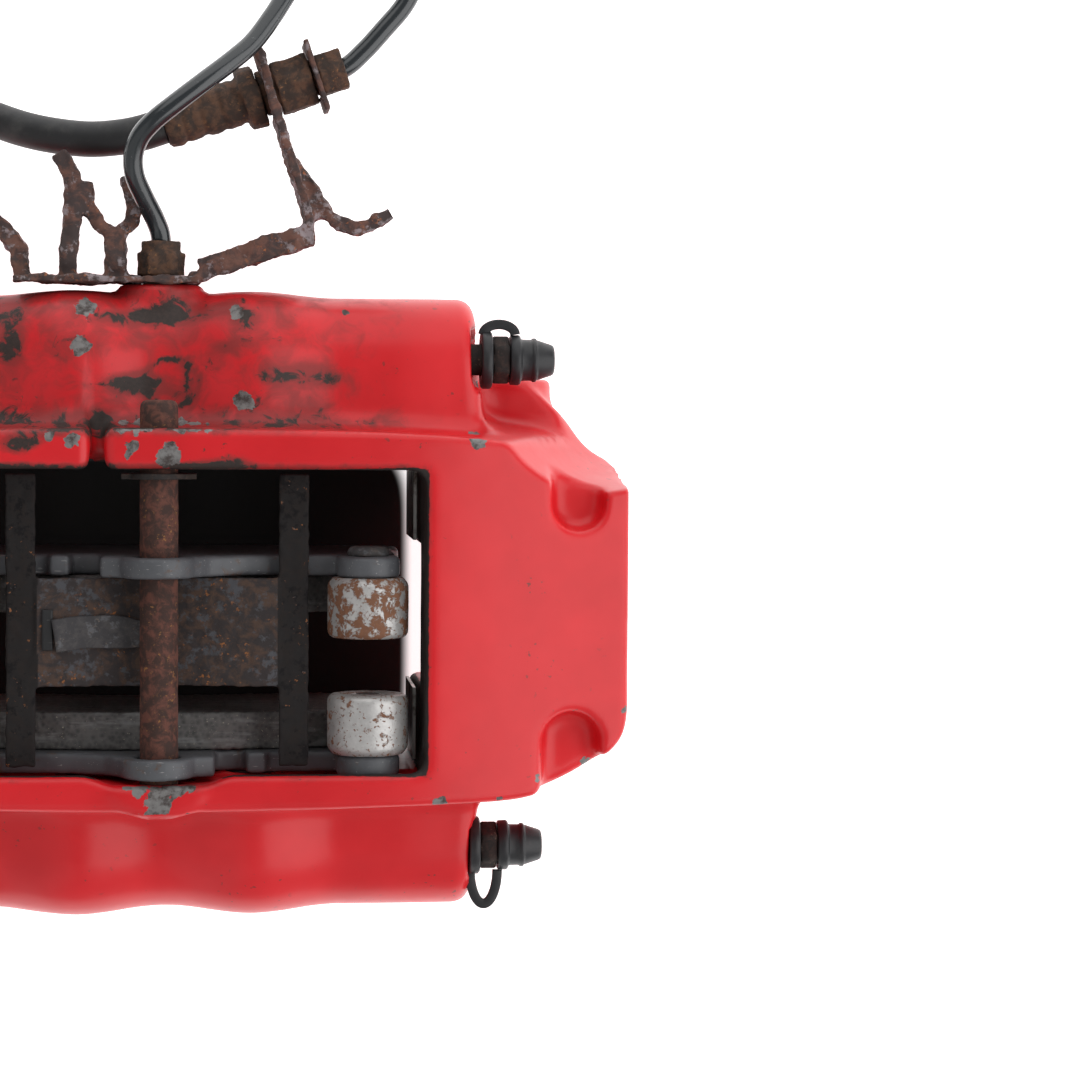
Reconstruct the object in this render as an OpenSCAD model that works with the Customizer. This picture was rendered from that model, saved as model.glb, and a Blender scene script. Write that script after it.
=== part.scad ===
// Four-piston fixed disc brake caliper with pads, brake pipe, hose and pipe bracket.
// Millimetres. X runs along the disc's tangent, +Y points inboard, +Z points radially outwards.
// The model is drawn about the disc's mid-plane and its base, then moved so that the origin lies
// midway between the two mounting holes, on the mounting face.

/* [Casting] */
// Height of the flat top face above the base
top_z = 74; // [70:0.5:80]
// Half the length of the whole casting
end_x = 120; // [118:0.5:124]
// Half the length of each cylinder bank
bank_x = 81; // [80:0.5:83]
// Outer face of the inboard bank
bank_in_y = 83; // [82:0.5:85]
// Outer face of the outboard bank
bank_out_y = 77.5; // [76:0.5:80]
// Half the length of the pad window
window_x = 66.6; // [65:0.1:68]
// Half the width of the pad window
window_y = 38.7; // [38:0.1:39.5]
// Inboard edge of the flange around the window
flange_y = 49; // [48:0.5:50]
// Outboard edge of the flange around the window
flange_out_y = 47.5; // [47:0.5:49]

/* [Disc] */
// Radius cleared for the disc
disc_clear_r = 169; // [168:0.5:170]
// Half the width cleared for the disc
disc_clear_y = 18; // [17:0.5:19]
// Depth of the disc's axis below the base
disc_axis_z = 109; // [108:0.5:110]

/* [Pistons] */
// Piston diameter
piston_d = 33.9; // [33.9:0.02:33.96]
// Half the distance between the two bores of a bank
bore_x = 23; // [22.5:0.5:23.5]
// Height of the bore axes
bore_z = 30; // [29:0.5:31]
// Length of a piston
piston_len = 29; // [27:0.5:29]

/* [Pads] */
// Thickness of a backing plate
plate_t = 5.5; // [5:0.1:5.5]
// Thickness of the friction material
friction_t = 10; // [6:0.5:10.5]
// Diameter of the pad pin
pin_d = 9.7; // [9.6:0.02:9.8]
// Height of the pad pin's axis
pin_z = 66; // [65.5:0.1:66.5]

/* [Fasteners] */
// Half the distance between the mounting holes
mount_x = 91; // [90:0.5:92]
// Height of the mounting holes
mount_z = 16; // [15:0.5:17]
// Mounting face's distance from the disc's mid-plane
mount_y = 62; // [61:0.5:63]
// Radius of the tapping hole for the mounting bolts
mount_r = 5.25; // [5.1:0.05:5.4]

/* [Pipe and hose] */
// Outer diameter of the brake pipe
pipe_d = 5.2; // [5:0.1:5.4]
// Outer diameter of the brake hose
hose_d = 9.4; // [9:0.1:9.6]

/* [Hidden] */
$fn = 48;
eps = 0.01;
bore_r = 17;
bore_face_y = 40;
bore_floor_y = 70;
cavity_x = 66;
relief_y = 41.2;
bleed_z = 43;
bleed_in_y = 67;
bleed_out_y = 61;
bleed_hole_len = 24;
union_x = -1;
union_z = 36;
boss_face_y = 86;
sheet_t = 2.5;
in_plate_y = 11;
out_plate_y = -34.5;
pad_x = -1.3;
pin_x = -0.9;
weight_x = 53.7;
weight_z = 61;
weight_len = 15.5;
// The hose's rigid end crosses the bracket here, square to the bracket's upright plate.
clamp_at = [26.5, 137, 30];
clamp_turn = 18.5;
// The pipe's route, from the caliper's port round to the hose's nut.
pipe_route = [[-1, 89, 36], [-1, 98, 36.5], [-2.5, 103, 38], [-5.5, 109, 42], [-7.6, 114, 45], [-7.9, 119, 47],
  [-6.2, 123.7, 48.6], [-2.6, 127.8, 49.8], [2.8, 132.2, 50], [10.2, 138, 49.2], [17.7, 144, 47],
  [23, 149, 44.5], [28, 156, 42], [32, 162.5, 39.5], [36.5, 169, 37], [43, 174, 34.5], [51, 176, 32.5],
  [58.5, 174.8, 31], [63.5, 170.5, 30.4], [64.8, 165.5, 30], [62.5, 160.3, 30], [57.4, 154.2, 30],
  [52.2, 148.4, 30], [46.9, 143.8, 30], [40, 141.5, 30]];
// The hose's route, from its ferrule down to the ground and round to its end ferrule.
hose_route = [[-0.3, 128, 30], [-6, 126.1, 29.9], [-12, 124.9, 29.3], [-20, 124.4, 27.6], [-29, 125.4, 24.6],
  [-37, 127.2, 21], [-45, 130, 17], [-55, 134.2, 12], [-66, 138.6, 8], [-78, 142, 5.6], [-90, 143.6, 4.8],
  [-103, 143.6, 4.7], [-116, 141.8, 4.7], [-128, 137.6, 4.7], [-138.5, 130.6, 4.7], [-146, 120.8, 4.7],
  [-150, 109.5, 4.7], [-151, 98, 4.7], [-151, 87, 4.7]];

// ---------- helpers ----------

// Moves the drawing so that the origin lies midway between the mounting holes.
module place() translate([0, -mount_y, -mount_z]) children();
// Cylinder along Y from y0 to y1.
module ycyl(r, y0, y1, x = 0, z = 0) translate([x, y0, z]) rotate([-90, 0, 0]) cylinder(r = r, h = y1 - y0);
// Cylinder along X from x0 to x1.
module xcyl(r, x0, x1, y = 0, z = 0) translate([x0, y, z]) rotate([0, 90, 0]) cylinder(r = r, h = x1 - x0);
// Box between two corners.
module slab(a, b) translate(a) cube(b - a);
// Extrusion of an X-Z outline along Y.
module along_y(y0, y1) translate([0, y1, 0]) rotate([90, 0, 0]) linear_extrude(y1 - y0) children();
// Extrusion of a Y-Z outline along X.
module along_x(x0, x1) translate([x0, 0, 0]) rotate([90, 0, 90]) linear_extrude(x1 - x0) children();
// Copies at +X and -X.
module both_x() {
  children();
  mirror([1, 0, 0]) children();
}
// Turns the drawing half a turn about Z.
module half_turn() rotate([0, 0, 180]) children();

function unit(v) = v / norm(v);
// Points of a polygon whose corner i is rounded to radius r[i]. Corners run counter-clockwise.
function rounded(p, r, steps = 5) = [for (i = [0 : len(p) - 1])
  let (a = p[(i + len(p) - 1) % len(p)], b = p[i], c = p[(i + 1) % len(p)],
       u = unit(a - b), v = unit(c - b), half = acos(u * v) / 2,
       m = b + unit(u + v) * r[i] / sin(half),
       start = b + u * r[i] / tan(half) - m, finish = b + v * r[i] / tan(half) - m,
       a0 = atan2(start.y, start.x), turn = (atan2(finish.y, finish.x) - a0 + 540) % 360 - 180)
  each (r[i] == 0 ? [b] : [for (k = [0 : steps]) m + r[i] * [cos(a0 + turn * k / steps), sin(a0 + turn * k / steps)]])];

// Height of a smooth swelling over each bore, from 0 to 1.
function swell(x) = abs(x) > 2 * bore_x ? 0 : (1 - cos(360 * x / (2 * bore_x))) / 2;

// Ring of points around a route's point, square to the route.
function ring(route, i, r, sides) =
  let (a = route[max(i - 1, 0)], b = route[min(i + 1, len(route) - 1)], t = unit(b - a),
       side = unit(cross(t, [0, 0, 1])), up = cross(side, t))
  [for (k = [0 : sides - 1]) route[i] + r * (cos(360 * k / sides) * side + sin(360 * k / sides) * up)];
// Points half-way along each step of a route, on a smooth curve through its points.
function refine(route) = [for (i = [0 : len(route) - 2])
  let (a = route[max(i - 1, 0)], b = route[i], c = route[i + 1], d = route[min(i + 2, len(route) - 1)])
  each [b, (9 * (b + c) - a - d) / 16], route[len(route) - 1]];
// Tube of radius r along a route.
module tube(route, r, sides) {
  rows = len(route);
  points = [for (i = [0 : rows - 1]) each ring(route, i, r, sides)];
  walls = [for (i = [0 : rows - 2], k = [0 : sides - 1]) let (n = (k + 1) % sides)
    [i * sides + k, i * sides + n, (i + 1) * sides + n, (i + 1) * sides + k]];
  ends = [[for (k = [sides - 1 : -1 : 0]) k], [for (k = [0 : sides - 1]) (rows - 1) * sides + k]];
  polyhedron(points = points, faces = concat(walls, ends), convexity = 6);
}

// ---------- casting ----------

// One cylinder bank on the +Y side: three rounded outlines that cut each other.
module bank(outer_y) {
  top = 53;
  intersection() {
    along_x(-bank_x - 5, bank_x + 5)
      polygon(rounded([[36, 0], [outer_y + 1.5, 0], [outer_y + 1.5, 50], [60, 58.5], [36, 58.5]], [0, 9, 15, 20, 0]));
    linear_extrude(70)
      polygon(concat(rounded([[-bank_x, 36], [bank_x, 36], [bank_x - 1.5, outer_y - 0.2], [50, outer_y + 0.1]],
        [0, 0, 5, 0]),
        [for (x = [46 : -4.6 : -46.1]) [x, outer_y + 1.5 * swell(x)]],
        [[-50, outer_y + 0.1], [1.5 - bank_x, outer_y - 0.2]]));
    along_y(35, outer_y + 3)
      polygon(concat([[-bank_x - 1, -1], [bank_x + 1, -1], [bank_x + 1, top - 3], [bank_x - 5, top]],
        [for (x = [46 : -4.6 : -46.1]) [x, top + 5 * swell(x)]], [[-bank_x + 5, top], [-bank_x - 1, top - 3]]));
  }
}

// Top flange, both end bridges and their legs: a plan outline cut by a side outline.
module bridge() {
  half = [[81, -flange_out_y], [95, -46.5], [106.5, -41], [118.5, -33], [end_x, -28], [end_x, 36], [113, 35],
    [106, 36], [99.5, 38], [94.5, 41.5], [91.5, 46], [81, 47.5], [60, flange_y]];
  intersection() {
    linear_extrude(90)
      polygon(concat(half, [for (i = [len(half) - 1 : -1 : 0]) [-half[i].x, half[i].y]]));
    along_y(-60, 60)
      polygon(rounded([[-84, 6], [84, 6], [108, 12], [end_x + 0.5, 30], [end_x + 0.5, 60.5], [94, 68.5], [68, top_z],
        [-68, top_z], [-94, 68.5], [-end_x - 0.5, 60.5], [-end_x - 0.5, 30], [-108, 12]],
        [0, 0, 8, 6, 3, 40, 60, 60, 40, 3, 6, 8]));
  }
}

// Ear that takes a mounting bolt, with a web back to the end bridge.
module mounting_ear() {
  ycyl(12.5, 34, mount_y, mount_x, mount_z);
  translate([0, 0, mount_z - 11]) linear_extrude(26)
    polygon([[70, 34], [end_x, 28], [end_x, 39.8], [113.5, 42.5], [108.5, 47], [105, 53.5], [96.5, 61.8], [70, 61.8]]);
}

module casting_solid() {
  bank(bank_in_y);
  mirror([0, 1, 0]) bank(bank_out_y);
  bridge();
  both_x() mounting_ear();
  ycyl(10.8, bank_in_y - 8, boss_face_y, union_x, union_z);
}

// Pad bay: the window above, the pads' slot between the abutments and the disc's clearance.
module pad_bay() {
  translate([0, 0, 44]) linear_extrude(40)
    polygon(rounded([[-window_x, -window_y], [window_x, -window_y], [window_x, window_y], [-window_x, window_y]],
      [4, 4, 4, 4]));
  slab([-cavity_x, -bore_face_y, -1], [cavity_x, bore_face_y, 54]);
  slab([-65.5, -relief_y, 50.6], [65.5, relief_y, 69.6]);
  slab([pin_x - 12, -relief_y, 60], [pin_x + 12, 0, top_z + 5]);
  for (x = [pad_x - weight_x, pad_x + weight_x]) slab([x - 6.2, -43, 54.5], [x + 6.2, 43, 67.5]);
  ycyl(disc_clear_r, -disc_clear_y, disc_clear_y, 0, -disc_axis_z, $fn = 96);
}

// One bore on the +Y side, with its boot's recess and its seal's groove.
module bore() {
  ycyl(bore_r, bore_face_y - 2, bore_floor_y);
  ycyl(20.2, bore_face_y - 2, 42.6);
  ycyl(20, 46, 49.4);
}

// Pocket in the end of a bridge, round at its inner end and open to the edge on the side that dir gives.
module pocket(x, y, r, dir) {
  translate([0, 0, 55]) linear_extrude(30) {
    translate([x, y]) circle(r = r);
    translate([x - r, dir > 0 ? y : y - 20]) square([2 * r, 20]);
  }
}

module caliper_body() color("crimson") place() difference() {
  casting_solid();
  pad_bay();
  for (x = [-bore_x, bore_x], m = [0, 1])
    translate([x, 0, bore_z]) mirror([0, m, 0]) bore();
  both_x() {
    pocket(106.7, 30, 6.6, 1);
    pocket(105, -31.5, 7.2, -1);
  }
  ycyl(pin_d / 2 + 0.1, -45.5, flange_y + 2, pin_x, pin_z);
  slab([-18, window_y - 2, 57], [-14.6, flange_y + 2, 80]);
  for (x = [-mount_x, mount_x]) ycyl(mount_r, 30, mount_y + 2, x, mount_z);
  ycyl(5.05, boss_face_y - 16, boss_face_y + 2, union_x, union_z);
  ycyl(1.6, bore_floor_y - 2, boss_face_y - 15, union_x, union_z);
  for (y = [bleed_in_y, -bleed_out_y]) {
    xcyl(4.2, bank_x - bleed_hole_len, bank_x + 8, y, bleed_z);
    xcyl(8.2, bank_x - 1.3, bank_x + 8, y, bleed_z);
    xcyl(1.6, -bank_x + 8, bank_x - bleed_hole_len + 2, y, bleed_z);
    xcyl(4.55, -bank_x - 8, -bank_x + 9, y, bleed_z);
  }
  both_x() for (y = [-29, 29]) xcyl(2.1, cavity_x - 2, cavity_x + 9, y, 30);
}

// ---------- pad retention ----------

module pad_pin() color("sienna") place() difference() {
  union() {
    ycyl(pin_d / 2, -44.5, 55.2, pin_x, pin_z);
    translate([pin_x, 55.2, pin_z]) rotate([-90, 0, 0]) cylinder(r1 = pin_d / 2, r2 = pin_d / 2 - 1, h = 1);
  }
  difference() {
    ycyl(6, 36, 37.7, pin_x, pin_z);
    ycyl(4.2, 35, 39, pin_x, pin_z);
  }
}

module pin_clip() color("dimgray") place() along_y(36.1, 37.6) translate([pin_x, pin_z]) difference() {
  union() {
    circle(r = 7.4);
    translate([-9.5, -2.5]) square([19, 5]);
  }
  circle(r = 4.3);
  translate([-1.6, -10]) square([3.2, 10]);
}

module pad_spring() color("saddlebrown") place() translate([pad_x, 0, 0]) {
  along_y(-17.2, 10.7) polygon(concat(
    [for (x = [-31 : 62 / 12 : 31.1]) [x, 61.5 - 3.4 * pow(cos(90 * x / 31), 2)]],
    [for (x = [31 : -62 / 12 : -31.1]) [x, 60.5 - 3.4 * pow(cos(90 * x / 31), 2)]]));
  both_x() translate([30.7, 0, 0]) {
    along_x(0, 7.9) polygon(concat(
      [for (y = [-37.5 : 7.5 : 37.5]) [y, 63 - 2.2 * pow(cos(90 * y / 37.5), 2)]],
      [for (y = [37.5 : -7.5 : -37.5]) [y, 61.9 - 2.2 * pow(cos(90 * y / 37.5), 2)]]));
  }
}

// ---------- pads ----------

// Backing plate's outline, seen from the disc on the inboard side: a tab round the pin, a bump beside it,
// two shoulders, an ear for each damper weight and a lug at each lower corner that bears on its abutment.
module plate_outline() {
  difference() {
    union() {
      polygon([[-56, 7], [-30, 3], [0, 1.5], [30, 3], [56, 7], [63.6, 9], [63.6, 20], [61.5, 24], [61.5, 46],
        [59, 50], [50, 56], [43, 55.8],
        [30, 56], [22, 57.6], [13.5, 61.5], [8.6, 68], [-8.6, 68], [-14.6, 65.5], [-14.6, 52], [-22, 51],
        [-22.6, 57.6], [-27.5, 57.6], [-28.5, 54.5], [-43, 55.5], [-50, 56], [-59, 50], [-61.5, 46], [-61.5, 24],
        [-63.6, 20], [-63.6, 9]]);
      translate([0, pin_z]) circle(r = 9.4);
      for (x = [-weight_x, weight_x]) translate([x, weight_z]) circle(r = 8.3);
    }
    translate([0, pin_z]) circle(r = pin_d / 2 + 0.8);
    for (x = [-weight_x, weight_x]) translate([x, weight_z]) circle(r = 3.05);
  }
}

// Friction material's outline: a sector between two radii about the disc's axis.
module friction_outline() intersection() {
  difference() {
    translate([0, -disc_axis_z]) circle(r = 162.5, $fn = 120);
    translate([0, -disc_axis_z]) circle(r = 114, $fn = 120);
    translate([-1.5, 0]) square([3, 70]);
  }
  polygon([[-52, 0], [52, 0], [57.5, 18], [57.5, 60], [-57.5, 60], [-57.5, 18]]);
}

// A pad's pieces lie on the inboard side; the outboard pad is the same one turned round.
module as_inboard() translate([pad_x, in_plate_y, 0]) children();
module as_outboard() translate([pad_x, out_plate_y, 0]) half_turn() children();

module backing_plate() color("gray") along_y(0, plate_t) plate_outline();
module friction_pad() color("darkgray") along_y(-friction_t, 0) friction_outline();
module damper_weights() color("silver") for (x = [-weight_x, weight_x]) difference() {
  union() {
    ycyl(10.4, 1 - weight_len, -1.6, x, weight_z);
    translate([x, -1.6, weight_z]) rotate([-90, 0, 0]) cylinder(r1 = 10.4, r2 = 9, h = 1.6);
    translate([x, -weight_len, weight_z]) rotate([-90, 0, 0]) cylinder(r1 = 9.6, r2 = 10.4, h = 1);
  }
  ycyl(3.05, -weight_len - 1, 1, x, weight_z);
}
module weight_rivets() color("dimgray") for (x = [-weight_x, weight_x]) {
  ycyl(3, -weight_len, plate_t, x, weight_z);
  translate([x, plate_t, weight_z]) rotate([-90, 0, 0]) cylinder(r1 = 5.4, r2 = 4.4, h = 2.4);
}

module inboard_backing_plate() place() as_inboard() backing_plate();
module outboard_backing_plate() place() as_outboard() backing_plate();
module inboard_friction_pad() place() as_inboard() friction_pad();
module outboard_friction_pad() place() as_outboard() friction_pad();
module inboard_damper_weights() place() as_inboard() damper_weights();
module outboard_damper_weights() place() as_outboard() damper_weights();
module inboard_weight_rivets() place() as_inboard() weight_rivets();
module outboard_weight_rivets() place() as_outboard() weight_rivets();

// ---------- pistons ----------

// Cup-shaped piston on the +Y side, open towards the pad.
module piston() color("lightgray") difference() {
  ycyl(piston_d / 2, bore_face_y + 0.4, bore_face_y + 0.4 + piston_len, 0, bore_z);
  ycyl(12.5, bore_face_y - 1, bore_face_y + 21, 0, bore_z);
}
module inboard_left_piston() place() translate([-bore_x, 0, 0]) piston();
module inboard_right_piston() place() translate([bore_x, 0, 0]) piston();
module outboard_left_piston() place() translate([-bore_x, 0, 0]) mirror([0, 1, 0]) piston();
module outboard_right_piston() place() translate([bore_x, 0, 0]) mirror([0, 1, 0]) piston();

// A ring in each of the four bores.
module bore_rings(r, y0, y1) for (x = [-bore_x, bore_x], m = [0, 1]) translate([x, 0, bore_z]) mirror([0, m, 0])
  difference() {
    ycyl(r, y0, y1);
    ycyl(piston_d / 2 + 0.06, y0 - 1, y1 + 1);
  }
module piston_seals() color("black") place() bore_rings(19.9, 46.1, 49.3);
module dust_boots() color("black") place() bore_rings(20.1, 40.2, 42.5);

// ---------- abutments ----------

module abutment_plates() color("silver") place() both_x() for (m = [0, 1]) mirror([0, m, 0]) difference() {
  slab([cavity_x - 0.8, 19.5, 6], [cavity_x, 38.4, 40]);
  xcyl(2.2, cavity_x - 2, cavity_x + 1, 29, 30);
}
module abutment_screws() color("gray") place() both_x() for (y = [-29, 29]) {
  xcyl(2, cavity_x - 0.8, cavity_x + 8.5, y, 30);
}

// ---------- bleed screws ----------

// Bleed screw along +X from the bank's end, at the origin.
module bleed_screw() color("dimgray") {
  xcyl(4.1, -bleed_hole_len + 4.5, 5);
  translate([4.6, 0, 0]) rotate([0, 90, 0]) cylinder(r = 6.35, h = 4.2, $fn = 6);
  xcyl(3.1, 8, 17);
}
// Rubber cap over the nipple, with its strap's ring round the screw's root.
module bleed_cap(loop_turn) color("black") {
  difference() {
    union() {
      xcyl(6.6, 8.9, 11.8);
      xcyl(5.6, 11.8, 16);
      translate([16, 0, 0]) rotate([0, 90, 0]) cylinder(r1 = 5.2, r2 = 3.8, h = 4.8);
    }
    xcyl(3.2, 7, 18);
  }
  difference() {
    xcyl(7.6, 1.4, 4.4);
    xcyl(4.2, -1, 6);
  }
  rotate([loop_turn, 0, 0]) {
    slab([2, -1.4, 7], [3.8, 1.4, 11]);
    slab([2, -1.4, 9.6], [11.5, 1.4, 11.2]);
    slab([9.5, -1.4, 6], [11.5, 1.4, 11.2]);
  }
}
module at_inboard_bleeder() place() translate([bank_x, bleed_in_y, bleed_z]) children();
module at_outboard_bleeder() place() translate([bank_x - 2.6, -bleed_out_y, bleed_z]) children();
module inboard_bleed_screw() at_inboard_bleeder() bleed_screw();
module outboard_bleed_screw() at_outboard_bleeder() bleed_screw();
module inboard_bleed_cap() at_inboard_bleeder() bleed_cap(-90);
module outboard_bleed_cap() at_outboard_bleeder() bleed_cap(90);

module passage_plugs() color("darkgray") place() for (y = [bleed_in_y, -bleed_out_y]) difference() {
  xcyl(4.5, -bank_x + 1, -bank_x + 9, y, bleed_z);
  translate([-bank_x, y, bleed_z]) rotate([0, 90, 0]) cylinder(r = 2.9, h = 5, $fn = 6);
}

// ---------- pipe, bracket and hose ----------

module union_nut() color("dimgray") place() translate([union_x, boss_face_y + sheet_t, union_z]) difference() {
  union() {
    rotate([-90, 0, 0]) cylinder(r = 6.35, h = 6, $fn = 6);
    ycyl(5.2, 5.5, 9);
    ycyl(4.95, -12, 1);
  }
  ycyl(pipe_d / 2 + 0.3, -13, 10);
}

module brake_pipe() color("black") place() tube(refine(pipe_route), pipe_d / 2, 12);

// Points at one side of a plan line, half a width away, mitred at its corners.
function side_line(points, half) = [for (i = [0 : len(points) - 1])
  let (b = points[i], u = unit(b - points[max(i - 1, 0)] + (i == 0 ? points[1] - b : [0, 0])),
       v = unit(points[min(i + 1, len(points) - 1)] - b + (i == len(points) - 1 ? b - points[i - 1] : [0, 0])),
       m = unit(u + v))
  b + half / (m * u) * [-m.y, m.x]];
// Flat bar of the given width along a plan line, from height z0 to z1.
module bar(points, width, z0, z1) translate([0, 0, z0]) linear_extrude(z1 - z0)
  polygon(concat(side_line(points, -width / 2),
    [for (i = [len(points) - 1 : -1 : 0]) side_line(points, width / 2)[i]]));

module line_bracket() color("saddlebrown") place() difference() {
  union() {
    bar([[-39, boss_face_y + 1.3], [9, boss_face_y + 1.3]], 2.3, 26, 47);
    bar([[7, boss_face_y + 1.9], [38.5, 98.2]], 3, 27, 42);
    bar([[9, boss_face_y + 3.8], [38.2, 99.6]], 6.4, 39.6, 42);
    bar([[37.9, 97], [37.5, 104], [24, 148]], 2.6, 20, 42);
    translate([0, 0, 33]) linear_extrude(3) polygon([[37, 102.5], [44, 106.5], [35, 119.5], [31.5, 121]]);
    bar([[37, 104.5], [42, 105.3], [46, 102.5], [50, 101], [54, 102.3], [59.5, 105.7]], 3.8, 34.5, 38);
    bar([[-25.5, 87], [-24.7, 94], [-24, 101], [-23.5, 107.5], [-24, 114], [-27.5, 120]], 4.8, 38, 42);
    bar([[-12.8, 87], [-12.8, 100]], 6, 33, 42);
    bar([[-12.2, 98.6], [-17.2, 101.5], [-19.8, 106], [-20.2, 112.6]], 4.2, 38.5, 41.5);
    bar([[-13.4, 98.6], [-9.3, 101.5], [-7.6, 106], [-9.6, 114.4]], 4.2, 33, 36.6);
    bar([[-36.5, 87], [-37.6, 95], [-41, 99.5], [-46, 104]], 5, 38, 42);
  }
  ycyl(5.6, boss_face_y - 5, boss_face_y + 10, union_x, union_z);
  at_clamp() xcyl(6.3, -4, 5);
}

// Everything on the hose's rigid end is drawn along +X from the bracket's upright plate.
module at_clamp() translate(clamp_at) rotate([0, 0, clamp_turn]) children();

module hose_clip() color("saddlebrown") place() at_clamp() difference() {
  slab([13, -9.5, -9], [14.4, 9.5, 9]);
  xcyl(5.2, 12, 15);
  slab([12, -5.2, -12], [15, 5.2, 0]);
}
module hose_union_nut() color("saddlebrown") place() at_clamp() difference() {
  union() {
    translate([14.6, 0, 0]) rotate([0, 90, 0]) cylinder(r = 6.2, h = 7, $fn = 6);
    xcyl(5, 12.7, 15);
  }
  xcyl(pipe_d / 2 + 0.4, 12, 23);
}
module hose_block() color("saddlebrown") place() at_clamp() difference() {
  union() {
    xcyl(6.1, -1.6, 4);
    translate([2.7, 0, 0]) rotate([0, 90, 0]) cylinder(r = 7.9, h = 9.9, $fn = 6);
  }
  xcyl(pipe_d / 2 + 0.4, 8, 14);
}
module hose_ferrule() color("saddlebrown") place() at_clamp() difference() {
  union() {
    xcyl(8.2, -6.5, -1.8);
    xcyl(6.2, -27.4, -6);
  }
  xcyl(hose_d / 2 + 0.05, -28, -24);
}
module brake_hose() color("black") place() tube(hose_route, hose_d / 2, 12);

// The far end is drawn along +X from the hose's last point.
module at_hose_end() translate(hose_route[len(hose_route) - 1]) rotate([0, 0, -90]) children();
module hose_end_ferrule() color("saddlebrown") place() at_hose_end() translate([0, 0, 1.3]) xcyl(5.9, 0.05, 16);
module hose_end_fitting() color("dimgray") place() at_hose_end() translate([0, 0, 1.3]) {
  translate([16.05, 0, 0]) rotate([0, 90, 0]) cylinder(r = 6, h = 7, $fn = 6);
  xcyl(4.9, 23, 33);
}

caliper_body();
pad_pin();
pin_clip();
pad_spring();
inboard_backing_plate();
outboard_backing_plate();
inboard_friction_pad();
outboard_friction_pad();
inboard_damper_weights();
outboard_damper_weights();
inboard_weight_rivets();
outboard_weight_rivets();
inboard_left_piston();
inboard_right_piston();
outboard_left_piston();
outboard_right_piston();
piston_seals();
dust_boots();
abutment_plates();
abutment_screws();
inboard_bleed_screw();
outboard_bleed_screw();
inboard_bleed_cap();
outboard_bleed_cap();
passage_plugs();
union_nut();
brake_pipe();
line_bracket();
hose_clip();
hose_union_nut();
hose_block();
hose_ferrule();
brake_hose();
hose_end_ferrule();
hose_end_fitting();
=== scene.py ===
"""Red four-piston brake caliper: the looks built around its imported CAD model.

Shapes are worked out in millimetres about the disc's mid-plane and the caliper's base, as in the CAD
source, and put() carries them to metres in the row's frame, whose origin lies midway between the
mounting holes. The casting is a smooth distance formula that a fine mesh is pulled onto; round pieces
are profiles turned about an axis; cords and bars are profiles carried along a path.
"""
import math

import bmesh
import bpy
import numpy as np
from mathutils import Matrix, Vector


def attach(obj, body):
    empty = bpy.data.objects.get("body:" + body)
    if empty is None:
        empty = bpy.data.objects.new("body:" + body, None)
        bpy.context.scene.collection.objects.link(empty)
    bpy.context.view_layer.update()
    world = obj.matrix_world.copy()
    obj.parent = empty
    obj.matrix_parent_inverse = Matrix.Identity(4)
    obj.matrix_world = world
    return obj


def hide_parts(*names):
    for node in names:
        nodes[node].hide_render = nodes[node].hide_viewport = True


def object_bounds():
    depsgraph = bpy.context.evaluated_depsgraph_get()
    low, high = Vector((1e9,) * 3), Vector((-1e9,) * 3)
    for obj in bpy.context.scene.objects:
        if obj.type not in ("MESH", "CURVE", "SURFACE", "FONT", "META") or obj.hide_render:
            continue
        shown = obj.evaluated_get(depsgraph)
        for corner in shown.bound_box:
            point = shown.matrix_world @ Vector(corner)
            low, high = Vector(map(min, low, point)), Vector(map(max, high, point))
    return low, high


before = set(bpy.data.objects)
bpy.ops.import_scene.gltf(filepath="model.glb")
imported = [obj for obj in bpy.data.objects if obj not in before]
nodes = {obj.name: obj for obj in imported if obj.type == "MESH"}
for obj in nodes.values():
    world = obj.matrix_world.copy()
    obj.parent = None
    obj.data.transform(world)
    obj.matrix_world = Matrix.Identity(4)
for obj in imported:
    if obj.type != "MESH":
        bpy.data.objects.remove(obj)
cad_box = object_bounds()
ORIGIN = np.array([0.0, 62.0, 16.0])  # the row frame's origin, in the caliper's millimetres


def put(points):
    """Millimetres in the caliper's own frame to metres in the row frame."""
    return (np.asarray(points, float) - ORIGIN) / 1000


def taken(points):
    """Metres in the row frame back to the caliper's millimetres."""
    return np.asarray(points, float) * 1000 + ORIGIN


def show(thing):
    """Adds an object to the scene."""
    bpy.context.scene.collection.objects.link(thing)


# ---------- camera, floor and light ----------

def look(eye, target, roll):
    """Rotation whose -Z looks from eye to target, with +Y up on the image, turned by roll radians."""
    forward = (target - eye).normalized()
    right = forward.cross(Vector((0, 1, 0))).normalized()
    up = right.cross(forward)
    c, s = math.cos(roll), math.sin(roll)
    return Matrix((c * right + s * up, c * up - s * right, -forward)).transposed()


EYE, LOOKS_AT, ROLL = (15.4, 61.5, 902.4), (95.45, 21.2, 74), 0.0063
LENS, SENSOR = 109.3, 36


def make_camera():
    """Long lens almost straight above the caliper, aimed to the right of its middle."""
    data = bpy.data.cameras.new("camera")
    data.sensor_width = SENSOR
    data.lens = LENS
    data.clip_start, data.clip_end = 0.05, 20
    camera = bpy.data.objects.new("camera", data)
    eye, target = Vector(put(EYE)), Vector(put(LOOKS_AT))
    camera.matrix_world = Matrix.Translation(eye) @ look(eye, target, ROLL).to_4x4()
    show(camera)
    bpy.context.scene.camera = camera


def area_light(name, at, aim, size, power):
    """Square soft light at a place, facing another, both in the caliper's millimetres."""
    data = bpy.data.lights.new(name, "AREA")
    data.size, data.energy = size, power
    light = bpy.data.objects.new(name, data)
    eye, target = Vector(put(at)), Vector(put(aim))
    turn = (target - eye).to_track_quat("-Z", "Y")
    light.matrix_world = Matrix.Translation(eye) @ turn.to_matrix().to_4x4()
    show(light)


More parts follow.
